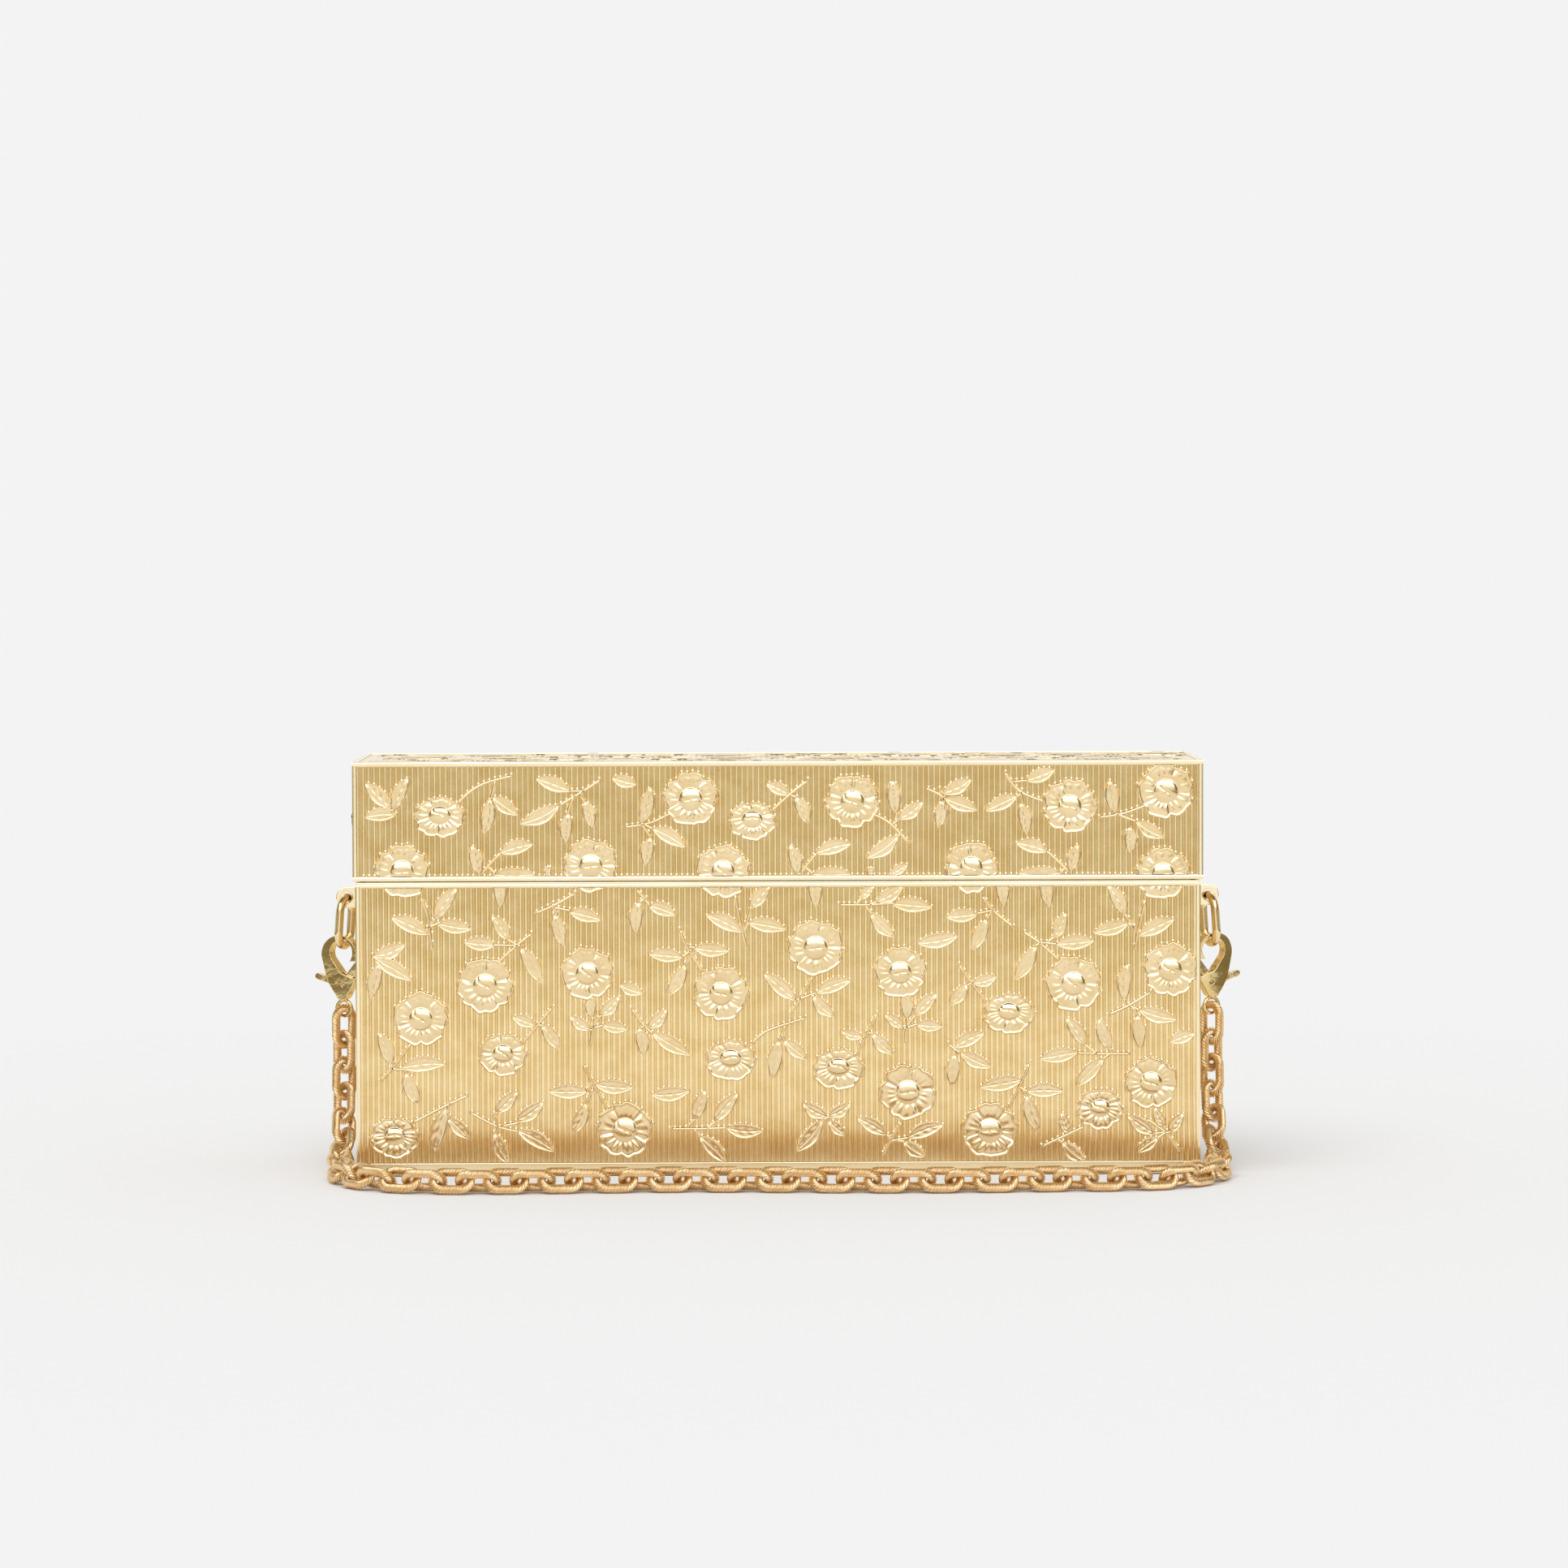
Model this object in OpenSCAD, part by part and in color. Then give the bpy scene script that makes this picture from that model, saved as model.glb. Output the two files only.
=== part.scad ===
/* [Case] */
// Width of the lid, side to side
lid_w = 190; // [170:1:220]
// Depth of the lid, front to back
lid_d = 46; // [42:1:56]
// Height of the lid above the seam
lid_h = 27; // [24:1:34]
// Height of the base below the seam
base_h = 66; // [62:1:80]
// How far the lid stands out over the base at the front and the sides
lid_proud = 0.5; // [0.3:0.1:0.8]
// Thickness of the case walls
wall_t = 1.6; // [1.5:0.1:2]
// Radius of the case's outer edges
edge_r = 0.6; // [0.4:0.1:0.8]
// Gap between the lid and the base at the seam
seam_gap = 0.25; // [0.2:0.05:0.4]

/* [Frames and panels] */
// Width of the raised frame at the sides of each lid panel
lid_frame_side = 0.95; // [0.9:0.05:1.4]
// Width of the raised frame along the top edges of the lid
lid_frame_top = 1.1; // [0.9:0.05:1.6]
// Width of the raised frame along the lid's lower edge
lid_frame_low = 1.0; // [0.8:0.05:1.4]
// Width of the raised frame at the sides of each base panel
base_frame_side = 0.9; // [0.85:0.05:1.2]
// Width of the raised frame along the base's upper edge
base_frame_top = 1.25; // [1.1:0.05:1.8]
// Height of the plain band at the foot of the base
base_frame_low = 2.9; // [2.5:0.1:4]
// Height of the plain bands that carry the hinge leaves at the back
hinge_band = 7.2; // [7:0.1:9]
// How far a panel's ground lies below its frame
panel_recess = 0.35; // [0.3:0.05:0.4]
// Thickness of a panel
panel_t = 0.4; // [0.35:0.05:0.45]
// Gap round a panel in its frame
panel_gap = 0.1; // [0.05:0.05:0.2]

/* [Floral relief] */
// Height of the flowers and leaves above the panel's ground
relief_h = 0.3; // [0.2:0.05:0.35]
// Height of a flower's centre above its petals
centre_h = 0.15; // [0.1:0.05:0.25]
// Width of a flower
bloom_d = 12; // [10:0.5:13]
// Length of an average leaf
leaf_l = 7.5; // [6:0.5:8]
// Width of a leaf, as a share of its length
leaf_w_share = 0.36; // [0.3:0.02:0.45]

/* [Closing lip] */
// Thickness of the lip inside the base's mouth
lip_t = 1.1; // [1:0.1:1.4]
// How far the lip rises above the base into the lid
lip_rise = 2.4; // [2:0.1:3]
// How far the lip reaches down inside the base
lip_drop = 5.5; // [5:0.5:8]
// Gap between the lip and the lid's wall behind it
lip_gap = 0.4; // [0.35:0.05:0.5]

/* [Magnets] */
// Diameter of the magnets and of their steel strikers
magnet_d = 6; // [5:0.5:7]
// Thickness of a magnet
magnet_t = 1.6; // [1.2:0.1:2]
// Thickness of a striker
striker_t = 1; // [0.8:0.1:1.2]
// Distance of the magnets from the middle
magnet_x = 68; // [50:1:74]
// Radial clearance round a magnet in its seat
magnet_fit = 0.05; // [0.03:0.01:0.08]

/* [Hinge] */
// Length of the hinge
hinge_len = 150; // [120:1:160]
// Number of knuckles
knuckle_n = 11; // [7:2:15]
// Outer diameter of the knuckles
knuckle_d = 3; // [2.8:0.1:3.2]
// Diameter of the hinge pin
hinge_pin_d = 1.4; // [1.2:0.1:1.6]
// Radial clearance of the pin in the knuckles
pin_fit = 0.05; // [0.03:0.01:0.08]
// Gap between neighbouring knuckles
knuckle_gap = 0.3; // [0.2:0.05:0.5]
// Thickness of the hinge leaves
leaf_t = 0.7; // [0.6:0.05:0.8]
// Height of a hinge leaf
hinge_leaf_h = 5; // [4:0.1:5.2]
// Distance of the hinge axis behind the case
hinge_out = 0.9; // [0.85:0.05:1]

/* [Lining] */
// Thickness of the lining
lining_t = 1; // [0.8:0.1:1.2]
// Gap between the lining and the metal
lining_gap = 0.2; // [0.1:0.05:0.3]

/* [Lugs and rings] */
// Distance of a lug's hole from the side of the base
lug_out = 3.6; // [3.5:0.1:4]
// Height of the lug's hole below the base's rim
lug_down = 4.8; // [4.5:0.1:8]
// Radius of the lug round its hole
lug_r = 2.4; // [2.4:0.1:2.9]
// Thickness of a lug
lug_t = 1.4; // [1.2:0.1:1.6]
// Diameter of the lug's hole
lug_hole_d = 2.8; // [2.7:0.1:3.2]
// Wire diameter of the oval ring
ring_wire_d = 1.9; // [1.7:0.1:2]
// Height of the oval ring
ring_h = 13; // [12:0.5:15]
// Width of the oval ring
ring_w = 8.4; // [8:0.1:9]
// How far the rings and clasps are turned outwards, in degrees
hang_turn = 20; // [14:1:22]
// How far the rings lean outwards, in degrees
hang_lean = 4; // [3:0.5:6]

/* [Clasps] */
// Radius of the hook's outer curve
hook_r = 4.3; // [4.2:0.05:4.4]
// Thickness of the hook at its top
hook_top_t = 1.15; // [1:0.05:1.4]
// Gap between the hook and the ring's wire
hook_gap = 0.25; // [0.2:0.05:0.4]
// Room cut into the hook round the ring's wire
ring_room = 0.15; // [0.1:0.05:0.2]
// How far a clasp turns on its ring, in degrees
clasp_swing = 11; // [8:1:14]
// Radius of the round top of the hook's opening
mouth_r = 2.75; // [2.6:0.05:2.9]
// Thickness of the clasp behind the middle of its slot
clasp_back_t = 1.6; // [1.5:0.1:1.8]
// Thickness of the clasp's domed side, before the middle of its slot
clasp_dome_t = 1.7; // [1.6:0.1:2]
// Fall of the domed side from the middle to the hook's edge
dome_fall = 1.1; // [0.8:0.1:1.2]
// Thickness of the gate
gate_t = 1.1; // [1:0.05:1.2]
// Clearance of the gate in its slot, on each side
gate_gap = 0.2; // [0.15:0.05:0.25]
// Diameter of the clasp's pin
clasp_pin_d = 1; // [0.9:0.05:1.1]
// Radial clearance of the gate on its pin
clasp_pin_fit = 0.05; // [0.03:0.01:0.08]
// Distance of the tail eye below the middle of the hook
eye_down = 12.35; // [12.2:0.05:12.5]
// Inner diameter of the tail eye
eye_hole_d = 2.7; // [2.6:0.1:3]
// Wire diameter of the tail eye
eye_wire_d = 0.85; // [0.8:0.05:1]
// How far the gate opens, in degrees
gate_open = 28; // [20:1:30]

/* [Chain] */
// Wire diameter of a link
link_wire_d = 2; // [1.8:0.05:2.05]
// Length of a link
link_l = 10.4; // [10.3:0.1:10.8]
// Width of a link
link_w = 6.8; // [6.6:0.1:7]
// Distance from one link to the next
link_pitch = 5.95; // [5.9:0.01:6.1]

/* [Hidden] */
$fn = 64;

gold = "#d9b36a";
pale_gold = "#ead39a";
green_gold = "#c2ad72";
rose_gold = "#cfa277";
steel = "#b9b9bd";
suede = "#cbb89d";

// One overrun serves all cuts
over = 1;
arc_steps = 5;

// Case: the back of the base and of the lid are in one plane
base_w = lid_w - 2 * lid_proud;
base_d = lid_d - lid_proud;
back_out = hinge_out + knuckle_d / 2;
back_y = (lid_d - back_out) / 2;
lid_mid_y = back_y - lid_d / 2;
base_mid_y = back_y - base_d / 2;
lid_z = base_h + seam_gap;
top_z = base_h + lid_h;
lid_case_h = top_z - lid_z;
pocket = panel_recess + panel_t;

// Lip and magnets
lip_base_z = base_h - lip_drop;
lip_top_z = base_h + lip_rise;
mouth_w = base_w - 2 * wall_t;
mouth_d = base_d - 2 * wall_t;
seat_wall = 1.2;
seat_w = magnet_d + 2 * seat_wall;
seat_d = magnet_d + 2 * seat_wall;
magnet_sink = 0.1;
seat_overlap = 0.1;
seat_h = magnet_t + magnet_sink + seat_wall;
magnet_y = base_mid_y - mouth_d / 2 + lip_t + seat_d / 2;
striker_seat_z = lip_top_z + lip_gap;
striker_seat_h = striker_t + magnet_sink + seat_wall;
lid_lining_z = striker_seat_z + striker_seat_h + lining_gap;

// Hinge
axis_y = back_y + hinge_out;
knuckle_pitch = hinge_len / knuckle_n;
hinge_clear = knuckle_gap;
notch_r = knuckle_d / 2 + hinge_clear;
bore_d = hinge_pin_d + 2 * pin_fit;
web_rise = 1.1;

// Lugs, rings and clasps hang at the middle of the base's depth
hang_x = base_w / 2 + lug_out;
hang_y = base_mid_y;
lug_z = base_h - lug_down;
lug_slot_gap = 0.15;
ring_out_r = (ring_w - ring_wire_d) / 2;
ring_straight = ring_h - ring_w;
ring_reach = ring_h - ring_wire_d;
ring_foot_x = hang_x + ring_reach * sin(hang_lean);
ring_foot_z = lug_z - ring_reach * cos(hang_lean);

// Clasp outline, as shares of the hook's radius, from a point below the ring's foot and level with
// the middle of the hook: x, y and radius of each round end
hook_share = [0.14, 0, 1];
belly_share = [0.02, -1.12, 0.84];
foot_share = [-0.02, -2.12, 0.33];
mouth_foot_share = [-0.07, -0.95, 0.1];
gap_shares = [[-1.5, -0.37], [-0.35, -0.37], [-0.07, -1.05], [-1.5, -1.58]];
pivot_share = [-0.12, -1.6, 0.28];
gate_tip_share = [-0.73, -0.56, 0.12];
knob_neck_share = [1.26, -1.26, 0.17];
knob_share = [1.42, -1.2, 0.17];
spring_share = [0.05, -2.17, -1.86];
knob_t = 1.8;
spring_d = 0.9;
spring_bore_d = 1.2;
spring_seat_gap = 0.05;
spring_bore_h = 1.45;
clasp_reach = 18;
hook_rise = hook_r * sqrt(1 - pow(hook_share[0], 2));
mouth_up = hook_rise - hook_top_t - mouth_r;
hook_z = ring_foot_z + ring_wire_d / 2 + hook_gap + hook_top_t - hook_rise;

// The chain's route: points chosen by hand, from the left clasp's eye to the right one's
route = [
    [-98.9, -1, 34.7], [-98.9, -1, 30], [-98.9, -1, 24.5], [-98.9, -2, 18], [-98.8, -5, 11.5],
    [-98.6, -10, 6.5], [-98.4, -17, 3.5], [-98.4, -25, 2.8], [-97.5, -34.5, 2.8], [-93.5, -44, 2.8],
    [-86, -51, 2.8], [-75, -54.5, 2.8], [-62, -55, 2.8], [-42, -53.5, 2.8], [-20, -52.5, 2.8],
    [0, -53.5, 2.8], [20, -55, 2.8], [42, -55, 2.8], [62, -53.5, 2.8], [76, -53, 2.8],
    [87, -49.5, 2.8], [94.5, -42, 2.8], [98, -33, 2.8], [98.6, -25, 2.8], [98.8, -17, 3.5],
    [98.8, -10, 6.5], [98.9, -5, 11.5], [98.9, -2, 18], [98.9, -1, 24.5], [98.9, -1, 30],
    [98.9, -1, 34.7]
];
route_steps = 12;
link_roll = 45;
drop_links = 6;

// Points of a rectangle with its corners rounded: top corners by rt, lower corners by rb
function corner(x, y, r, from) = r > 0
    ? [for (k = [0:arc_steps]) let (t = from + 90 * k / arc_steps) [x + r * cos(t), y + r * sin(t)]]
    : [[x, y]];
function rect_pts(w, h, rt, rb) = concat(
    corner(w / 2 - rt, h / 2 - rt, rt, 0),
    corner(rt - w / 2, h / 2 - rt, rt, 90),
    corner(rb - w / 2, rb - h / 2, rb, 180),
    corner(w / 2 - rb, rb - h / 2, rb, 270)
);

// Points round two circles and their outer tangents, each circle given as [x, y, radius]
function wrap_pts(a, b, n = 12) = let (
    dx = b[0] - a[0],
    dy = b[1] - a[1],
    aim = atan2(dy, dx),
    lean = acos((a[2] - b[2]) / norm([dx, dy]))
) concat(
    [for (k = [0:n]) let (t = aim + lean + (360 - 2 * lean) * k / n)
        [a[0] + a[2] * cos(t), a[1] + a[2] * sin(t)]],
    [for (k = [0:n]) let (t = aim - lean + 2 * lean * k / n) [b[0] + b[2] * cos(t), b[1] + b[2] * sin(t)]]
);

// Block with rounded upright edges, and its top or foot edges rounded
module soft_block(w, d, h, rt, rb) {
    intersection() {
        linear_extrude(h) polygon(rect_pts(w, d, edge_r, edge_r));
        translate([0, 0, h / 2]) rotate([90, 0, 0])
            linear_extrude(d + 2 * over, center = true) polygon(rect_pts(w, h, rt, rb));
        translate([0, 0, h / 2]) rotate([90, 0, 90])
            linear_extrude(w + 2 * over, center = true) polygon(rect_pts(d, h, rt, rb));
    }
}

module box_at(x, y, z, w, d, h) {
    translate([x - w / 2, y - d / 2, z]) cube([w, d, h]);
}

// Places a flat piece, drawn in X and Y and rising in Z, on one side of a case
module on_front(mid_x, y, z) { translate([mid_x, y, z]) rotate([90, 0, 0]) children(); }
module on_back(mid_x, y, z) { translate([mid_x, y, z]) rotate([90, 0, 180]) children(); }
module on_left(x, y, z) { translate([x, y, z]) rotate([90, 0, -90]) children(); }
module on_right(x, y, z) { translate([x, y, z]) rotate([90, 0, 90]) children(); }

// Pocket for a panel, sunk below the face that it stands on
module panel_pocket(w, h) {
    translate([-w / 2, 0, -pocket]) cube([w, h, pocket + over]);
}

// Floral sheet: each flower's place, as shares of the sheet's width and height, its turn and its
// size as a share of the usual one
bloom_shares = [
    [0.098, 0.86, 10, 0.94], [0.396, 0.904, 20, 1], [0.469, 0.848, -10, 0.88], [0.588, 0.897, 50, 1],
    [0.846, 0.884, 0, 1], [0.96, 0.921, 30, 1.03], [0.053, 0.726, 15, 1], [0.277, 0.739, 40, 1],
    [0.434, 0.724, 5, 1], [0.729, 0.732, 60, 0.97], [0.957, 0.715, 20, 0.97], [0.072, 0.359, 18, 1.01],
    [0.149, 0.442, 54, 1.03], [0.17, 0.269, -8, 0.88], [0.04, 0.063, -12, 0.9],
    [0.271, 0.471, 30, 0.97], [0.431, 0.42, 0, 1.01], [0.442, 0.253, 8, 0.93], [0.315, 0.081, 10, 1.03],
    [0.544, 0.533, 40, 1.03], [0.645, 0.471, 20, 0.96], [0.571, 0.23, 6, 0.94],
    [0.654, 0.173, 45, 1.03], [0.752, 0.077, 15, 1.03], [0.775, 0.367, 0, 0.94],
    [0.852, 0.442, 36, 1.03], [0.968, 0.476, 10, 1], [0.945, 0.194, 25, 0.96], [0.884, 0.129, 60, 0.85]
];
// Each leaf's stalk end, its direction and its length as a share of the usual one
leaf_shares = [
    [0.04, 0.884, 135, 1.06], [0.043, 0.88, 65, 1.05], [0.046, 0.868, -175, 0.93],
    [0.158, 0.906, -100, 1.08], [0.161, 0.91, -35, 0.93], [0.253, 0.925, 160, 1.08],
    [0.24, 0.889, -155, 1.3], [0.251, 0.869, -95, 0.89], [0.271, 0.899, -75, 0.81],
    [0.332, 0.941, 165, 0.76], [0.337, 0.845, 75, 1.11], [0.351, 0.831, -30, 1.11],
    [0.348, 0.809, -100, 0.85], [0.145, 0.72, 105, 0.87], [0.17, 0.772, 15, 1],
    [0.513, 0.914, 155, 0.75], [0.521, 0.908, -65, 0.88], [0.639, 0.867, 95, 0.99],
    [0.643, 0.853, 35, 0.87], [0.642, 0.811, -145, 1.14], [0.695, 0.917, 25, 0.95],
    [0.698, 0.903, -20, 1.02], [0.695, 0.897, -100, 0.8], [0.523, 0.718, 105, 0.88],
    [0.545, 0.769, 15, 1.07], [0.794, 0.948, 20, 0.91], [0.783, 0.908, -155, 1.01],
    [0.788, 0.892, -80, 0.97], [0.819, 0.772, 165, 0.95], [0.847, 0.722, 75, 0.82],
    [0.9, 0.867, 100, 0.98], [0.925, 0.845, -30, 0.97], [0.917, 0.831, -90, 0.77],
    [0.081, 0.57, 155, 1.2], [0.093, 0.596, -10, 1], [0.096, 0.643, 55, 0.73], [0.017, 0.516, 20, 0.97],
    [0.018, 0.507, -30, 1.25], [0.023, 0.497, -105, 1.05], [0.036, 0.247, 110, 1],
    [0.048, 0.237, 5, 1.33], [0.054, 0.225, -70, 0.99], [0.161, 0.543, 175, 0.92],
    [0.192, 0.535, -60, 1.22], [0.158, 0.616, -60, 0.83], [0.164, 0.72, -85, 1.02],
    [0.233, 0.618, -75, 0.98], [0.209, 0.342, 160, 0.72], [0.217, 0.342, -55, 0.87],
    [0.102, 0.137, -105, 1.38], [0.104, 0.111, -45, 0.86], [0.162, 0.125, 45, 0.89],
    [0.185, 0.103, 35, 1.01], [0.187, 0.08, -30, 1.26], [0.159, 0.074, -65, 1.01],
    [0.27, 0.177, 180, 1.14], [0.251, 0.624, -15, 0.95], [0.333, 0.648, -95, 0.96],
    [0.345, 0.64, -20, 0.85], [0.385, 0.511, 175, 0.99], [0.399, 0.534, -5, 1.04],
    [0.388, 0.491, -120, 1.03], [0.456, 0.574, 155, 1.16], [0.464, 0.596, -10, 1.15],
    [0.467, 0.633, 50, 0.89], [0.31, 0.443, -20, 0.74], [0.276, 0.362, 90, 0.66],
    [0.287, 0.366, 45, 0.79], [0.289, 0.343, -10, 0.76], [0.274, 0.331, 145, 0.71],
    [0.344, 0.335, 45, 0.77], [0.333, 0.335, -80, 0.82], [0.349, 0.321, -30, 1.31],
    [0.28, 0.195, -5, 1.14], [0.269, 0.147, -115, 1], [0.347, 0.169, 5, 1.15], [0.399, 0.107, 70, 0.92],
    [0.422, 0.101, 50, 1.11], [0.437, 0.085, -5, 1.09], [0.405, 0.063, -45, 1.1],
    [0.5, 0.302, -100, 1.14], [0.52, 0.403, 140, 1.23], [0.545, 0.421, 20, 1.09],
    [0.541, 0.413, -45, 0.88], [0.541, 0.717, -85, 1.02], [0.636, 0.642, -5, 1.19],
    [0.61, 0.618, -45, 1], [0.598, 0.654, 45, 0.58], [0.666, 0.544, 10, 1.22],
    [0.737, 0.615, -175, 0.92], [0.748, 0.603, -115, 1.01], [0.653, 0.356, 95, 0.76],
    [0.663, 0.364, 45, 0.91], [0.665, 0.341, -5, 0.75], [0.649, 0.333, 145, 0.67],
    [0.6, 0.311, 165, 0.65], [0.612, 0.319, -45, 0.88], [0.506, 0.302, -40, 0.88],
    [0.725, 0.44, -130, 0.79], [0.732, 0.444, 15, 0.73], [0.709, 0.284, 25, 1],
    [0.717, 0.27, -25, 1.03], [0.71, 0.266, -95, 0.93], [0.557, 0.111, 150, 0.82],
    [0.559, 0.113, 30, 0.76], [0.552, 0.104, -130, 1.23], [0.559, 0.1, -40, 0.67],
    [0.628, 0.067, 150, 0.99], [0.654, 0.059, 20, 1.12], [0.649, 0.049, -35, 0.78],
    [0.791, 0.203, -170, 1.3], [0.796, 0.174, 0, 1.09], [0.796, 0.164, -70, 1.16],
    [0.806, 0.535, -120, 1.16], [0.832, 0.541, 5, 1.14], [0.829, 0.556, 65, 0.82],
    [0.762, 0.716, -80, 0.99], [0.82, 0.716, -85, 1.03], [0.918, 0.592, -165, 1.08],
    [0.93, 0.561, 25, 1.18], [0.914, 0.614, 120, 1.02], [0.913, 0.401, 85, 1.08],
    [0.931, 0.376, -15, 1.16], [0.929, 0.362, -85, 0.98], [0.968, 0.295, 20, 0.79],
    [0.866, 0.289, 125, 0.98], [0.896, 0.279, 110, 0.96], [0.857, 0.271, -170, 1.15],
    [0.888, 0.253, -135, 1.13], [0.848, 0.066, 110, 0.69], [0.839, 0.046, -40, 0.91],
    [0.949, 0.066, 145, 0.97], [0.968, 0.07, 55, 0.69], [0.953, 0.055, -145, 0.72],
    [0.961, 0.084, 115, 0.64]
];
petal_n = 5;
petal_out_share = 0.27;
petal_d_share = 0.46;
centre_d_share = 0.38;
centre_top_share = 0.7;
edge_share = 0.6;

module bloom_2d(d) {
    for (k = [0:petal_n - 1]) {
        rotate(k * 360 / petal_n) translate([d * petal_out_share, 0])
            circle(d = d * petal_d_share, $fn = 24);
    }
    circle(d = d * petal_out_share * 2, $fn = 24);
}

// Leaf from its stalk end along X: two arcs that meet at its ends
module leaf_2d(l) {
    w = l * leaf_w_share;
    r = (l * l + w * w) / (4 * w);
    intersection() {
        translate([l / 2, r - w / 2]) circle(r = r, $fn = 48);
        translate([l / 2, w / 2 - r]) circle(r = r, $fn = 48);
    }
}

// Whether a place in the sheet is in a window or next to it
function seen(p, w, h, left, low) = let (margin = bloom_d * edge_share)
    p[0] > left - margin && p[0] < left + w + margin && p[1] > low - margin && p[1] < low + h + margin;

// The relief inside a window of the sheet: the window's left and lower edges in the sheet
module relief(w, h, left, low, sheet_w, sheet_h) {
    translate([0, 0, panel_t - panel_gap]) linear_extrude(relief_h + panel_gap) intersection() {
        translate([-w / 2, 0]) square([w, h]);
        translate([-w / 2 - left, -low]) {
            for (b = bloom_shares) {
                at = [b[0] * sheet_w, b[1] * sheet_h];
                if (seen(at, w, h, left, low)) translate(at) rotate(b[2]) bloom_2d(bloom_d * b[3]);
            }
            for (b = leaf_shares) {
                at = [b[0] * sheet_w, b[1] * sheet_h];
                if (seen(at, w, h, left, low)) translate(at) rotate(b[2]) leaf_2d(leaf_l * b[3]);
            }
        }
    }
    intersection() {
        translate([-w / 2, 0, 0]) cube([w, h, pocket + over]);
        translate([-w / 2 - left, -low, panel_t]) for (b = bloom_shares) {
            at = [b[0] * sheet_w, b[1] * sheet_h];
            centre_d = bloom_d * centre_d_share;
            if (seen(at, w, h, left, low)) translate(at)
                cylinder(h = relief_h + centre_h, d1 = centre_d, d2 = centre_d * centre_top_share, $fn = 24);
        }
    }
}

// Embossed panel, standing on its back face, its foot at y = 0 of the pocket
module panel(w, h, left, low, sheet_w, sheet_h) {
    pw = w - 2 * panel_gap;
    ph = h - 2 * panel_gap;
    translate([0, panel_gap, -pocket]) {
        translate([-pw / 2, 0, 0]) cube([pw, ph, panel_t]);
        relief(pw, ph, left, low, sheet_w, sheet_h);
    }
}

// Sizes of the pockets
base_front_w = base_w - 2 * base_frame_side;
base_side_w = base_d - 2 * base_frame_side;
base_pocket_h = base_h - base_frame_low - base_frame_top;
base_back_h = base_h - base_frame_low - hinge_band;
lid_front_w = lid_w - 2 * lid_frame_side;
lid_side_w = lid_d - 2 * lid_frame_side;
lid_pocket_h = lid_case_h - lid_frame_low - lid_frame_top;
lid_back_h = lid_case_h - hinge_band - lid_frame_top;
lid_pocket_z = lid_z + lid_frame_low;
lid_back_z = lid_z + hinge_band;
lid_top_w = lid_w - 2 * lid_frame_top;
lid_top_d = lid_d - 2 * lid_frame_top;
lug_slot_h = 2 * (lug_r + lug_slot_gap);
sheet_h = top_z - base_frame_low;

module base_shell() {
    color(pale_gold) difference() {
        translate([0, base_mid_y, 0]) soft_block(base_w, base_d, base_h, 0, edge_r);
        box_at(0, base_mid_y, wall_t, mouth_w, mouth_d, base_h);
        on_front(0, base_mid_y - base_d / 2, base_frame_low) panel_pocket(base_front_w, base_pocket_h);
        on_back(0, back_y, base_frame_low) panel_pocket(base_front_w, base_back_h);
        on_left(-base_w / 2, base_mid_y, base_frame_low) panel_pocket(base_side_w, base_pocket_h);
        on_right(base_w / 2, base_mid_y, base_frame_low) panel_pocket(base_side_w, base_pocket_h);
        hinge_notch();
    }
}

module hinge_notch() {
    len = hinge_len + 2 * hinge_clear;
    translate([-len / 2, axis_y, base_h]) rotate([0, 90, 0]) cylinder(h = len, r = notch_r);
}

module base_front_panel() {
    color(gold) on_front(0, base_mid_y - base_d / 2, base_frame_low)
        panel(base_front_w, base_pocket_h, 0, 0, base_front_w, sheet_h);
}

module base_rear_panel() {
    color(gold) on_back(0, back_y, base_frame_low)
        panel(base_front_w, base_back_h, 0, 0, base_front_w, sheet_h);
}

module side_panel_blank() {
    panel(base_side_w, base_pocket_h, base_side_w, 0, base_front_w, sheet_h);
}

// A slot in each end panel lets its lug through
module lug_slot() {
    translate([-lug_t / 2 - lug_slot_gap, lug_z - lug_r - lug_slot_gap - base_frame_low, -pocket - over])
        cube([lug_t + 2 * lug_slot_gap, lug_slot_h, pocket + 2 * over]);
}

module base_left_panel() {
    color(gold) on_left(-base_w / 2, base_mid_y, base_frame_low) difference() {
        side_panel_blank();
        lug_slot();
    }
}

module base_right_panel() {
    color(gold) on_right(base_w / 2, base_mid_y, base_frame_low) difference() {
        side_panel_blank();
        lug_slot();
    }
}

module frame_band(w, d, t, z, h) {
    difference() {
        box_at(0, base_mid_y, z, w, d, h);
        box_at(0, base_mid_y, z - over, w - 2 * t, d - 2 * t, h + 2 * over);
    }
}

module closing_lip() {
    color(pale_gold) difference() {
        union() {
            frame_band(mouth_w, mouth_d, lip_t, lip_base_z, lip_drop);
            rise_t = lip_t - lip_gap;
            rise_h = lip_rise + lip_t;
            frame_band(mouth_w - 2 * lip_gap, mouth_d - 2 * lip_gap, rise_t, base_h - lip_t, rise_h);
            for (side = [-1, 1]) {
                box_at(side * magnet_x, magnet_y - seat_overlap, lip_top_z - seat_h, seat_w, seat_d, seat_h);
            }
        }
        for (side = [-1, 1]) translate([side * magnet_x, magnet_y, lip_top_z - magnet_t - magnet_sink])
            cylinder(h = magnet_t + magnet_sink + over, d = magnet_d + 2 * magnet_fit);
    }
}

module base_magnets() {
    z = lip_top_z - magnet_t - magnet_sink;
    color(steel) for (side = [-1, 1]) translate([side * magnet_x, magnet_y, z])
        cylinder(h = magnet_t, d = magnet_d);
}

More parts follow.
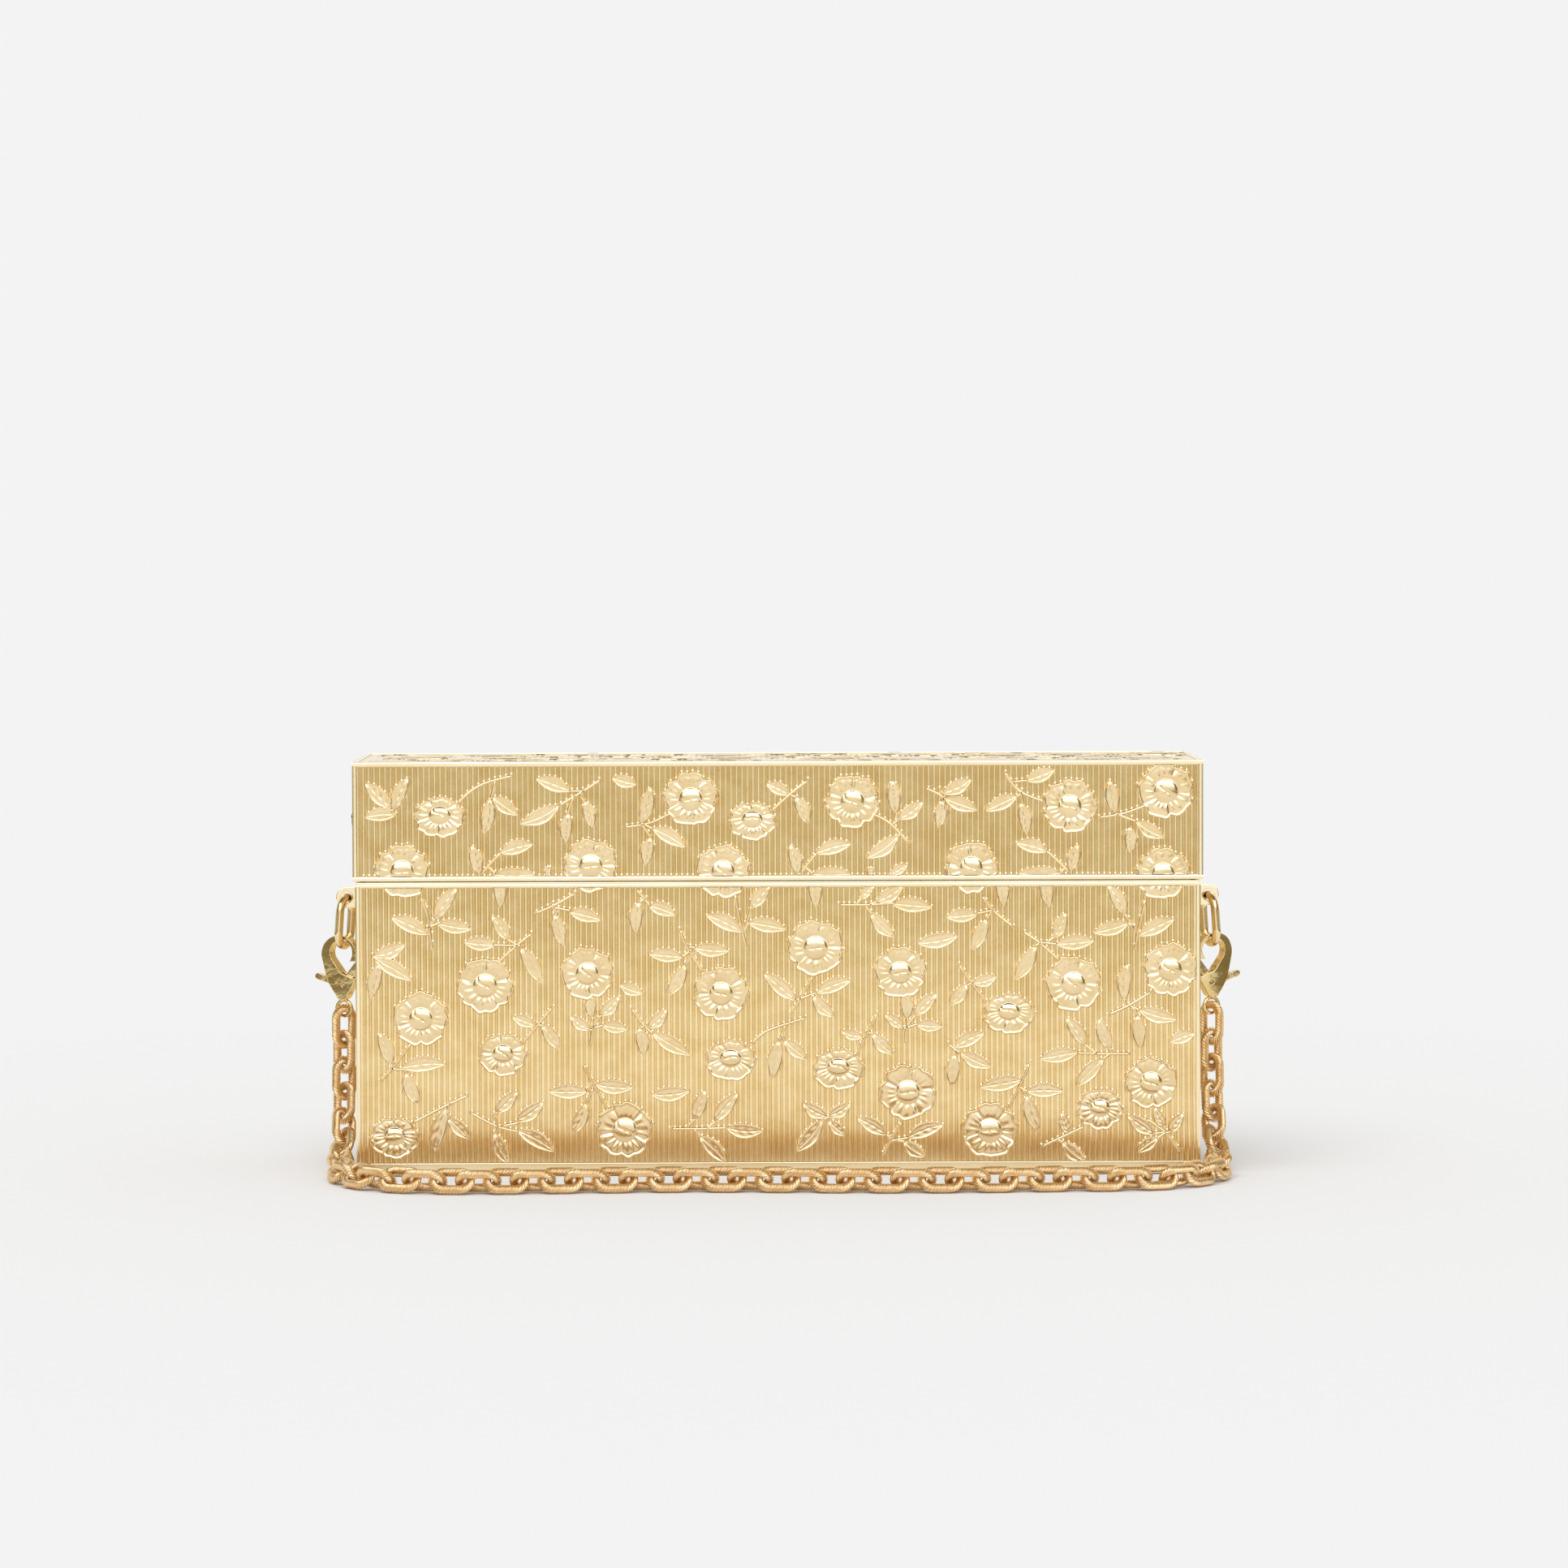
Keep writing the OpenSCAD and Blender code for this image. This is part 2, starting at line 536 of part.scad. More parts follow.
module base_lining() {
    w = mouth_w - 2 * lining_gap;
    d = mouth_d - 2 * lining_gap;
    z = wall_t + lining_gap;
    color(suede) difference() {
        box_at(0, base_mid_y, z, w, d, lip_base_z - lining_gap - z);
        box_at(0, base_mid_y, z + lining_t, w - 2 * lining_t, d - 2 * lining_t, base_h);
    }
}

module knuckles(first) {
    difference() {
        union() {
            for (k = [first:2:knuckle_n - 1]) {
                x = (k - knuckle_n / 2) * knuckle_pitch + knuckle_gap / 2;
                len = knuckle_pitch - knuckle_gap;
                translate([x, axis_y, base_h]) rotate([0, 90, 0]) cylinder(h = len, d = knuckle_d);
                leaf_low = first == 0 ? base_h - notch_r - web_rise : base_h;
                translate([x, back_y, leaf_low]) cube([len, leaf_t, notch_r + web_rise]);
            }
            leaf_z = first == 0 ? base_h - notch_r - hinge_leaf_h : base_h + notch_r;
            translate([-hinge_len / 2, back_y, leaf_z]) cube([hinge_len, leaf_t, hinge_leaf_h]);
        }
        translate([-hinge_len / 2 - over, axis_y, base_h]) rotate([0, 90, 0])
            cylinder(h = hinge_len + 2 * over, d = bore_d);
    }
}

module hinge_base_leaf() {
    color(pale_gold) knuckles(0);
}

module hinge_lid_leaf() {
    color(pale_gold) knuckles(1);
}

module hinge_pin() {
    color(steel) translate([-hinge_len / 2, axis_y, base_h]) rotate([0, 90, 0])
        cylinder(h = hinge_len, d = hinge_pin_d);
}

module lug() {
    foot = pocket;
    translate([0, lug_t / 2, 0]) rotate([90, 0, 0]) linear_extrude(lug_t) difference() {
        union() {
            circle(r = lug_r);
            translate([-lug_out - foot, -lug_r]) square([lug_out + foot, 2 * lug_r]);
            translate([-lug_r, 0]) square([lug_r, lug_r]);
        }
        circle(d = lug_hole_d);
    }
}

module left_lug() {
    color(pale_gold) translate([-hang_x, hang_y, lug_z]) mirror([1, 0, 0]) lug();
}

module right_lug() {
    color(pale_gold) translate([hang_x, hang_y, lug_z]) lug();
}

module lid_shell() {
    color(pale_gold) {
        difference() {
            translate([0, lid_mid_y, lid_z]) soft_block(lid_w, lid_d, lid_case_h, edge_r, 0);
            cavity_h = lid_case_h - wall_t;
            box_at(0, lid_mid_y, lid_z - over, lid_w - 2 * wall_t, lid_d - 2 * wall_t, cavity_h + over);
            on_front(0, lid_mid_y - lid_d / 2, lid_pocket_z) panel_pocket(lid_front_w, lid_pocket_h);
            on_back(0, back_y, lid_back_z) panel_pocket(lid_front_w, lid_back_h);
            on_left(-lid_w / 2, lid_mid_y, lid_pocket_z) panel_pocket(lid_side_w, lid_pocket_h);
            on_right(lid_w / 2, lid_mid_y, lid_pocket_z) panel_pocket(lid_side_w, lid_pocket_h);
            translate([0, lid_mid_y - lid_top_d / 2, top_z]) panel_pocket(lid_top_w, lid_top_d);
            hinge_notch();
        }
        striker_seats();
    }
}

module striker_seats() {
    front = lid_mid_y - lid_d / 2 + wall_t;
    depth = magnet_y + seat_d / 2 - front;
    for (side = [-1, 1]) difference() {
        box_at(side * magnet_x, front + depth / 2, striker_seat_z, seat_w, depth, striker_seat_h);
        translate([side * magnet_x, magnet_y, striker_seat_z - over])
            cylinder(h = striker_t + magnet_sink + over, d = magnet_d + 2 * magnet_fit);
    }
}

module lid_strikers() {
    color(steel) for (side = [-1, 1]) translate([side * magnet_x, magnet_y, striker_seat_z + magnet_sink])
        cylinder(h = striker_t, d = magnet_d);
}

module lid_front_panel() {
    color(gold) on_front(0, lid_mid_y - lid_d / 2, lid_pocket_z)
        panel(lid_front_w, lid_pocket_h, 0, lid_pocket_z - base_frame_low, lid_front_w, sheet_h);
}

module lid_rear_panel() {
    color(gold) on_back(0, back_y, lid_back_z)
        panel(lid_front_w, lid_back_h, 0, lid_back_z - base_frame_low, lid_front_w, sheet_h);
}

module lid_side_panel() {
    panel(lid_side_w, lid_pocket_h, lid_side_w, lid_pocket_z - base_frame_low, lid_front_w, sheet_h);
}

module lid_left_panel() {
    color(gold) on_left(-lid_w / 2, lid_mid_y, lid_pocket_z) lid_side_panel();
}

module lid_right_panel() {
    color(gold) on_right(lid_w / 2, lid_mid_y, lid_pocket_z) lid_side_panel();
}

module lid_top_panel() {
    color(gold) translate([0, lid_mid_y - lid_top_d / 2, top_z])
        panel(lid_top_w, lid_top_d, 0, 0, lid_top_w, sheet_h);
}

module lid_lining() {
    w = lid_w - 2 * wall_t - 2 * lining_gap;
    d = lid_d - 2 * wall_t - 2 * lining_gap;
    h = top_z - wall_t - lining_gap - lid_lining_z;
    color(suede) difference() {
        box_at(0, lid_mid_y, lid_lining_z, w, d, h);
        box_at(0, lid_mid_y, lid_lining_z - over, w - 2 * lining_t, d - 2 * lining_t, h - lining_t + over);
    }
}

// Closed loop of round wire: two half rings and two straight sides, drawn in X and Z, its length in Z
module wire_loop(length, width, wire) {
    bend = (width - wire) / 2;
    straight = length - width;
    for (turn = [0, 180]) rotate([0, turn, 0]) {
        translate([0, 0, straight / 2]) rotate([90, 0, 0]) rotate_extrude(angle = 180)
            translate([bend, 0]) circle(d = wire, $fn = 32);
        translate([bend, 0, -straight / 2]) cylinder(h = straight, d = wire, $fn = 32);
    }
}

// A ring leans out from its lug: side is -1 at the left, 1 at the right
module oval_ring(side) {
    translate([side * hang_x, hang_y, lug_z]) rotate([0, -side * hang_lean, 0])
        rotate([0, 0, side * hang_turn + 90]) translate([0, 0, -ring_reach / 2])
            wire_loop(ring_h, ring_w, ring_wire_d);
}

// Sets a clasp on its ring, turned with it
module hang(side) {
    translate([side * ring_foot_x, hang_y, hook_z]) rotate([0, 0, side * hang_turn]) children();
}

module left_ring() {
    color(pale_gold) oval_ring(-1);
}

module right_ring() {
    color(pale_gold) oval_ring(1);
}

function hook_pt(s) = [s[0] * hook_r, s[1] * hook_r, s[2] * hook_r];

// Turns a flat outline up into X and Z, from y = -front to y = back
module upright(front, back) {
    translate([0, back, 0]) rotate([90, 0, 0]) linear_extrude(front + back) children();
}

module gate_outline(grow) {
    pivot = hook_pt(pivot_share);
    tip = hook_pt(gate_tip_share);
    neck = hook_pt(knob_neck_share);
    g = [0, 0, grow];
    polygon(wrap_pts(pivot + g, tip + g));
    polygon(wrap_pts(pivot + g, neck + g));
}

module at_pivot() {
    p = hook_pt(pivot_share);
    translate([p[0], 0, p[1]]) children();
}

// The ring as a clasp sees it, with room round its wire, swung out by some degrees
module hung_ring(side, swing) {
    rotate([0, 0, -side * hang_turn]) translate([0, 0, ring_foot_z - hook_z])
        rotate([0, -hang_lean - swing, 0]) rotate([0, 0, side * hang_turn + 90])
            translate([0, 0, ring_reach / 2]) wire_loop(ring_h, ring_w, ring_wire_d + 2 * ring_room);
}

module clasp_body() {
    slot = gate_t / 2 + gate_gap;
    dome_r = (hook_r * hook_r + dome_fall * dome_fall) / (2 * dome_fall);
    hook = hook_pt(hook_share);
    belly = hook_pt(belly_share);
    pivot = hook_pt(pivot_share);
    spring_at = hook_pt(spring_share);
    difference() {
        intersection() {
            union() {
                upright(clasp_dome_t, clasp_back_t) polygon(wrap_pts(hook, belly, 24));
                upright(clasp_dome_t, clasp_back_t) polygon(wrap_pts(belly, hook_pt(foot_share), 16));
            }
            translate([hook[0], dome_r - clasp_dome_t, -clasp_reach])
                cylinder(h = 2 * clasp_reach, r = dome_r, $fn = 128);
        }
        upright(clasp_dome_t + over, clasp_back_t + over) {
            polygon(wrap_pts([0, mouth_up, mouth_r], hook_pt(mouth_foot_share), 20));
            polygon([for (p = gap_shares) p * hook_r]);
        }
        for (turn = [0:gate_open / 2:gate_open]) at_pivot() rotate([0, turn, 0])
            translate([-pivot[0], 0, -pivot[1]]) upright(slot, slot) gate_outline(gate_gap);
        at_pivot() rotate([90, 0, 0])
            cylinder(h = 2 * (clasp_dome_t + clasp_back_t), d = clasp_pin_d + clasp_pin_fit, center = true);
        translate([spring_at[0], 0, spring_at[1] - spring_seat_gap])
            cylinder(h = spring_bore_h, d = spring_bore_d);
        for (side = [-1, 1]) for (swing = [0, clasp_swing]) hung_ring(side, swing);
    }
    translate([0, 0, -eye_down]) rotate([90, 0, 0]) rotate_extrude()
        translate([(eye_hole_d + eye_wire_d) / 2, 0]) circle(d = eye_wire_d, $fn = 32);
}

module clasp_pin() {
    at_pivot() translate([0, clasp_back_t, 0]) rotate([90, 0, 0])
        cylinder(h = clasp_back_t + clasp_dome_t - gate_gap, d = clasp_pin_d);
}

module clasp_spring() {
    low = hook_pt(spring_share);
    translate([low[0], 0, low[1]]) difference() {
        cylinder(h = (spring_share[2] - spring_share[1]) * hook_r, d = spring_d, $fn = 32);
        translate([0, 0, -over]) cylinder(h = hook_r, d = spring_d / 2, $fn = 32);
    }
}

module clasp_gate() {
    difference() {
        union() {
            upright(gate_t / 2, gate_t / 2) gate_outline(0);
            upright(knob_t / 2, knob_t / 2) polygon(wrap_pts(hook_pt(knob_neck_share), hook_pt(knob_share)));
        }
        at_pivot() rotate([90, 0, 0])
            cylinder(h = 2 * knob_t, d = clasp_pin_d + 2 * clasp_pin_fit, center = true);
    }
}

// Both clasps are alike: the left one is turned half round
module left_clasp() { hang(-1) rotate([0, 0, 180]) children(); }
module right_clasp() { hang(1) children(); }

module left_clasp_body() { color(green_gold) left_clasp() clasp_body(); }
module left_clasp_pin() { color(steel) left_clasp() clasp_pin(); }
module left_clasp_spring() { color(steel) left_clasp() clasp_spring(); }
module left_clasp_gate() { color(green_gold) left_clasp() clasp_gate(); }
module right_clasp_body() { color(green_gold) right_clasp() clasp_body(); }
module right_clasp_pin() { color(steel) right_clasp() clasp_pin(); }
module right_clasp_spring() { color(steel) right_clasp() clasp_spring(); }
module right_clasp_gate() { color(green_gold) right_clasp() clasp_gate(); }

// Smooth curve through the route's points, and the length run along it
function spline(a, b, c, d, t) = (2 * b + (c - a) * t + (2 * a - 5 * b + 4 * c - d) * t * t
    + (3 * b - a - 3 * c + d) * t * t * t) / 2;
last = len(route) - 1;
fine_route = [for (i = [0:last - 1]) for (k = [0:route_steps - (i < last - 1 ? 1 : 0)])
    spline(route[max(i - 1, 0)], route[i], route[i + 1], route[min(i + 2, last)], k / route_steps)];
run = [for (i = 0, s = 0; i < len(fine_route);
    s = s + (i + 1 < len(fine_route) ? norm(fine_route[i + 1] - fine_route[i]) : 0), i = i + 1) s];
route_l = run[len(run) - 1];
// An odd number of links, so that both ends turn the same way into their eyes
link_n = 2 * round((route_l / link_pitch - 1) / 2) + 1;
function along(s) = [for (axis = [0:2])
    lookup(s, [for (i = [0:len(run) - 1]) [run[i], fine_route[i][axis]]])];
joints = [for (i = [0:link_n]) along(route_l * i / link_n)];

function unit(v) = v / norm(v);
// A link's upward side: away from the floor when it lies, forward when it hangs
function upper(t) = let (w = [0, -abs(t[2]), 1 - abs(t[2])]) unit(w - (w * t) * t);

module chain_link(i) {
    t = unit(joints[i + 1] - joints[i]);
    n = upper(t);
    b = cross(n, t);
    roll = link_roll * (i % 2 == 0 ? -1 : 1);
    p = cos(roll) * b + sin(roll) * n;
    q = cross(t, p);
    mid = (joints[i] + joints[i + 1]) / 2;
    multmatrix([
        [p[0], q[0], t[0], mid[0]],
        [p[1], q[1], t[1], mid[1]],
        [p[2], q[2], t[2], mid[2]],
        [0, 0, 0, 1]
    ]) wire_loop(link_l, link_w, link_wire_d);
}

module chain_left_drop() {
    color(rose_gold) for (i = [0:drop_links - 1]) chain_link(i);
}

module chain_floor_run() {
    color(rose_gold) for (i = [drop_links:link_n - drop_links - 1]) chain_link(i);
}

module chain_right_drop() {
    color(rose_gold) for (i = [link_n - drop_links:link_n - 1]) chain_link(i);
}

base_shell();
base_front_panel();
base_rear_panel();
base_left_panel();
base_right_panel();
closing_lip();
base_magnets();
base_lining();
hinge_base_leaf();
hinge_pin();
left_lug();
right_lug();
lid_shell();
lid_front_panel();
lid_rear_panel();
lid_left_panel();
lid_right_panel();
lid_top_panel();
lid_lining();
lid_strikers();
hinge_lid_leaf();
left_ring();
right_ring();
left_clasp_body();
left_clasp_pin();
left_clasp_spring();
left_clasp_gate();
right_clasp_body();
right_clasp_pin();
right_clasp_spring();
right_clasp_gate();
chain_left_drop();
chain_floor_run();
chain_right_drop();
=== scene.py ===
from math import cos, pi, radians, sin

import bmesh
import bpy
import numpy as np
from mathutils import Euler, Matrix, Vector


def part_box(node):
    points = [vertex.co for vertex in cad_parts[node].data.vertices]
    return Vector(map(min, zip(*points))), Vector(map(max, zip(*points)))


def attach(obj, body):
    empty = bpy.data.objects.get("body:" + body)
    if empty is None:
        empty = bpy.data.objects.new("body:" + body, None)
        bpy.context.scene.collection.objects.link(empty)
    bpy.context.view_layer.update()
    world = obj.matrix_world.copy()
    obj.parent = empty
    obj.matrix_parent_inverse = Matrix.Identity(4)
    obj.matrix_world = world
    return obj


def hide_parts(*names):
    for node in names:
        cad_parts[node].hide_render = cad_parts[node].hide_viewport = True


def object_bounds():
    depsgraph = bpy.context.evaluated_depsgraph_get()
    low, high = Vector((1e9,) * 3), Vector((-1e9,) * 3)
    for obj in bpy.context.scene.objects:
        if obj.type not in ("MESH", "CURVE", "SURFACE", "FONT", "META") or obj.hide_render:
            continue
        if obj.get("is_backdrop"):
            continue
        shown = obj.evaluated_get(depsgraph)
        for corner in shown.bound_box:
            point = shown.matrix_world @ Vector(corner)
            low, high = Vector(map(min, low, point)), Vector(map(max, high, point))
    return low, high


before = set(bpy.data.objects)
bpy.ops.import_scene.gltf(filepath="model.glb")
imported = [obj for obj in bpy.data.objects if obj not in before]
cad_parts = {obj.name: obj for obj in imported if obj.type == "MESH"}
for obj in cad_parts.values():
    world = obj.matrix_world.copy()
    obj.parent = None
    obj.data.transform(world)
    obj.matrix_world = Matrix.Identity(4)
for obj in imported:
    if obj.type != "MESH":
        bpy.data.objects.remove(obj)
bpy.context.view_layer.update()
scene = bpy.context.scene
mm = 0.001

# Camera: stands 1.2 m in front of the bag, a little above its lid, and looks slightly down with a
# long lens, as in the photograph.
eye = bpy.data.cameras.new("eye")
eye.lens = 121.7
eye.sensor_width = 36
eye.clip_end = 20
eye_at = bpy.data.objects.new("eye", eye)
eye_at.location = (-0.0053, -1.2061, 0.1440)
eye_at.rotation_euler = Euler([radians(a) for a in (87.277, 0.164, -0.332)])
scene.collection.objects.link(eye_at)
scene.camera = eye_at
scene.view_settings.view_transform = "Standard"

# Studio: a matt white floor under an even white sky, where the bag and the strap cast a soft shadow.
# The metal sees a long softbox above the camera, a dark ceiling over it, and the dark room past each
# side of the white floor, which draws the ribs.
world = bpy.data.worlds.new("white_tent")
scene.world = world
world.use_nodes = True
sky = world.node_tree
sky.nodes.clear()


def feed(tree, node, inputs):
    """Gives inputs of a node a plain value, an output socket, or the first output of another node."""
    for key, value in dict(inputs).items():
        if isinstance(value, bpy.types.Node):
            value = value.outputs[0]
        if isinstance(value, bpy.types.NodeSocket):
            tree.links.new(value, node.inputs[key])
        else:
            node.inputs[key].default_value = value


def set_up(thing, **settings):
    """Gives a node, a modifier or another thing its settings."""
    for name, value in settings.items():
        setattr(thing, name, value)
    return thing


def new_node(tree, kind, inputs=(), **settings):
    """A new node with its settings and its inputs."""
    node = set_up(tree.nodes.new(kind), **settings)
    feed(tree, node, inputs)
    return node


def calc(tree, operation, a, b=None):
    """One arithmetic step on two node sockets or plain numbers."""
    inputs = {0: a} if b is None else {0: a, 1: b}
    return new_node(tree, "ShaderNodeMath", inputs, operation=operation).outputs[0]


def times(tree, a, b):
    return calc(tree, "MULTIPLY", a, b)


def minus(tree, a, b):
    return calc(tree, "SUBTRACT", a, b)


def ease_between(tree, value, start, end):
    """0 before start, 1 after end, and a soft step from one to the other."""
    inputs = {"Value": value, "From Min": start, "From Max": end}
    return new_node(tree, "ShaderNodeMapRange", inputs, interpolation_type="SMOOTHSTEP").outputs["Result"]


def blend_of(tree, factor, first, second):
    """Mix of two colours or sockets by a factor."""
    first, second = ((*v, 1) if isinstance(v, tuple) else v for v in (first, second))
    inputs = {"Factor": factor, "A": first, "B": second}
    return new_node(tree, "ShaderNodeMix", inputs, data_type="RGBA").outputs["Result"]


def mixed(tree, factor, first, second):
    """Mix of two shaders by a factor."""
    return new_node(tree, "ShaderNodeMixShader", {0: factor, 1: first, 2: second})


white_wall, rear_wall, softbox = (1.0, 1.0, 0.97), (0.95, 0.95, 0.93), (2.3, 2.4, 2.7)
dark_ceiling, dark_side = (0.20, 0.17, 0.10), (0.23, 0.19, 0.095)
softbox_edge, ceiling_edge, side_edge, rear_edge = (0.14, 0.26), (0.70, 0.84), (0.5, 0.68), (0.10, 0.35)
even_light = 0.62
backdrop_tone = (0.896, 0.896, 0.896)
ray = new_node(sky, "ShaderNodeLightPath").outputs
aim = new_node(sky, "ShaderNodeTexCoord").outputs["Generated"]
heading = new_node(sky, "ShaderNodeSeparateXYZ", {0: aim}).outputs
aside = calc(sky, "ABSOLUTE", heading["X"])
tones = blend_of(sky, ease_between(sky, heading["Z"], *softbox_edge), white_wall, softbox)
tones = blend_of(sky, ease_between(sky, heading["Z"], *ceiling_edge), tones, dark_ceiling)
tones = blend_of(sky, ease_between(sky, aside, *side_edge), tones, dark_side)
tones = blend_of(sky, ease_between(sky, heading["Y"], *rear_edge), tones, rear_wall)
tent = new_node(sky, "ShaderNodeBackground", {"Color": tones})
even = new_node(sky, "ShaderNodeBackground", {"Color": (1.0, 1.0, 1.0, 1), "Strength": even_light})
backdrop = new_node(sky, "ShaderNodeBackground", {"Color": (*backdrop_tone, 1)})
no_matt_bounce = calc(sky, "LESS_THAN", ray["Diffuse Depth"], 0.5)
seen_in_metal = times(sky, ray["Is Glossy Ray"], no_matt_bounce)
shown_sky = mixed(sky, ray["Is Camera Ray"], mixed(sky, seen_in_metal, even, tent), backdrop)
new_node(sky, "ShaderNodeOutputWorld", {"Surface": shown_sky})

# The floor fades into the backdrop's tone further off. Metal sees it a little brighter, and sees it
# end in the dark room at each side.
reach, below_bag = 8.0, 0.1 * mm
floor_paint, paint_in_metal = (0.915, 0.915, 0.913), (1.0, 0.985, 0.955)
lit_near, lit_far = (1.14, 1.11, 1.06), (1.04, 1.04, 0.995)
lit_edge, fade_edge, room_edge, far_room_edge = (0.28, 0.6), (0.22, 0.5), (0.27, 0.5), (0.85, 1.4)
far_room_light = 0.5
floor_mesh = bpy.data.meshes.new("studio_floor")
floor_corners = ((-1, -1), (1, -1), (1, 1), (-1, 1))
floor_mesh.from_pydata([(x * reach, y * reach, -below_bag) for x, y in floor_corners], [], [(0, 1, 2, 3)])
studio_floor = bpy.data.objects.new("studio_floor", floor_mesh)
scene.collection.objects.link(studio_floor)
matt_white = bpy.data.materials.new("matt_white")
matt_white.use_nodes = True
ground = matt_white.node_tree
in_metal = new_node(ground, "ShaderNodeLightPath").outputs["Is Glossy Ray"]
floor_at = new_node(ground, "ShaderNodeTexCoord").outputs["Object"]
paint = ground.nodes["Principled BSDF"]
paint_tone = blend_of(ground, in_metal, floor_paint, paint_in_metal)
feed(ground, paint, {"Base Color": paint_tone, "Roughness": 1.0, "Specular IOR Level": 0.0})
far_off = new_node(ground, "ShaderNodeVectorMath", {0: floor_at}, operation="LENGTH").outputs["Value"]
lit_ground = blend_of(ground, ease_between(ground, far_off, *lit_edge), lit_near, lit_far)
fade_tone = blend_of(ground, in_metal, backdrop_tone, lit_ground)
fade = new_node(ground, "ShaderNodeEmission", {"Color": fade_tone})
white_floor = mixed(ground, ease_between(ground, far_off, *fade_edge), paint, fade)
floor_xyz = new_node(ground, "ShaderNodeSeparateXYZ", {0: floor_at}).outputs
aside = calc(ground, "ABSOLUTE", floor_xyz["X"])
less = times(ground, ease_between(ground, aside, *far_room_edge), far_room_light)
past_edge = ease_between(ground, aside, *room_edge)
past_edge = times(ground, past_edge, minus(ground, 1.0, less))
dark_room = new_node(ground, "ShaderNodeEmission", {"Color": (*dark_side, 1)})
room_share = times(ground, past_edge, in_metal)
feed(ground, ground.nodes["Material Output"], {"Surface": mixed(ground, room_share, white_floor, dark_room)})
floor_mesh.materials.append(matt_white)
studio_floor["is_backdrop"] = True

key = bpy.data.lights.new("overhead_softbox", "SUN")
key.energy = 1.25
key.angle = radians(50)
key_at = bpy.data.objects.new("overhead_softbox", key)
key_at.rotation_euler = Vector((0.15, 0.5, -1.0)).to_track_quat("-Z", "Y").to_euler()
key_at.visible_glossy = False
scene.collection.objects.link(key_at)

# Chain strap: 55 oval links of rope-twist brass wire, satin plated in a warm gold. It is clipped to
# both clasps, hangs down the bag's ends, lies on the floor and runs across in front.


def mottled(name, tones, edges, cloud, grain, bump, bump_depth):
    """A material that drifts between two tones, with a fine grain: also its tree, shader and grain.

    The cloud that it drifts by and the grain are each a noise's scale and detail."""
    made = bpy.data.materials.new(name)
    made.use_nodes = True
    tree = made.node_tree
    where = new_node(tree, "ShaderNodeTexCoord").outputs["Object"]
    drift, fine = (
        new_node(tree, "ShaderNodeTexNoise", {"Vector": where, "Scale": s, "Detail": d}).outputs["Fac"]
        for s, d in (cloud, grain)
    )
    ramp = new_node(tree, "ShaderNodeValToRGB", {0: drift})
    for stop, at, tone in zip(ramp.color_ramp.elements, edges, tones):
        set_up(stop, position=at, color=(*tone, 1))
    relief = new_node(tree, "ShaderNodeBump", {"Strength": bump, "Distance": bump_depth, "Height": fine})
    shader = tree.nodes["Principled BSDF"]
    feed(tree, shader, {"Base Color": ramp.outputs["Color"], "Normal": relief.outputs["Normal"]})
    return made, tree, shader, fine


def plated(name, tone, shade, roughness, cloud, grain, grain_depth):
    """Gold plating: a tone that drifts a little towards a deeper shade, with faint polishing grain."""
    made, tree, metal, fine = mottled(
        name, (shade, tone), (0.3, 0.65), (cloud, 2.0), (grain, 3.0), bump=0.25, bump_depth=grain_depth * mm
    )
    gloss_range = {"Value": fine, "To Min": roughness * 0.75, "To Max": roughness * 1.3}
    gloss = new_node(tree, "ShaderNodeMapRange", gloss_range)
    feed(tree, metal, {"Metallic": 1.0, "Roughness": gloss.outputs["Result"]})
    return made


def new_tree(name, start, numbers):
    """A Geometry Nodes tree with named inputs (its start, numbers, the metal), and the sockets they give."""
    tree = bpy.data.node_groups.new(name, "GeometryNodeTree")
    tree.interface.new_socket(start, in_out="INPUT", socket_type="NodeSocketGeometry")
    for label, value in numbers.items():
        kind = "NodeSocketInt" if isinstance(value, int) else "NodeSocketFloat"
        tree.interface.new_socket(label, in_out="INPUT", socket_type=kind).default_value = value
    tree.interface.new_socket("Metal", in_out="INPUT", socket_type="NodeSocketMaterial")
    tree.interface.new_socket("Made", in_out="OUTPUT", socket_type="NodeSocketGeometry")
    return tree, tree.nodes.new("NodeGroupInput").outputs


def finish_tree(tree, given, geometry):
    """Ends a tree with its geometry made real, in the given metal."""
    real = new_node(tree, "GeometryNodeRealizeInstances", {0: geometry})
    in_its_metal = new_node(tree, "GeometryNodeSetMaterial", {"Geometry": real, "Material": given["Metal"]})
    new_node(tree, "NodeGroupOutput", {0: in_its_metal})


def grown(name, tree, start, inputs):
    """Runs a Geometry Nodes tree on a start mesh and gives back the plain mesh that it makes."""
    seed_object = bpy.data.objects.new(name + "_start", start)
    scene.collection.objects.link(seed_object)
    grow = seed_object.modifiers.new("grow", "NODES")
    grow.node_group = tree
    for item in tree.interface.items_tree:
        if item.item_type == "SOCKET" and item.in_out == "INPUT" and item.name in inputs:
            grow[item.identifier] = inputs[item.name]
    bpy.context.view_layer.update()
    seen = seed_object.evaluated_get(bpy.context.evaluated_depsgraph_get())
    result = bpy.data.meshes.new_from_object(seen)
    result.name = name
    bpy.data.objects.remove(seed_object)
    return result


def places(name, frames):
    """A mesh of loose points, each with its turn, from 3 by 4 matrices of axes and place."""
    start = bpy.data.meshes.new(name)
    start.from_pydata([tuple(f[:, 3]) for f in frames], [], [])
    turns = start.attributes.new("turn", "FLOAT_VECTOR", "POINT")
    for i, f in enumerate(frames):
        turns.data[i].vector = Matrix([list(row[:3]) for row in f]).to_euler()
    return start


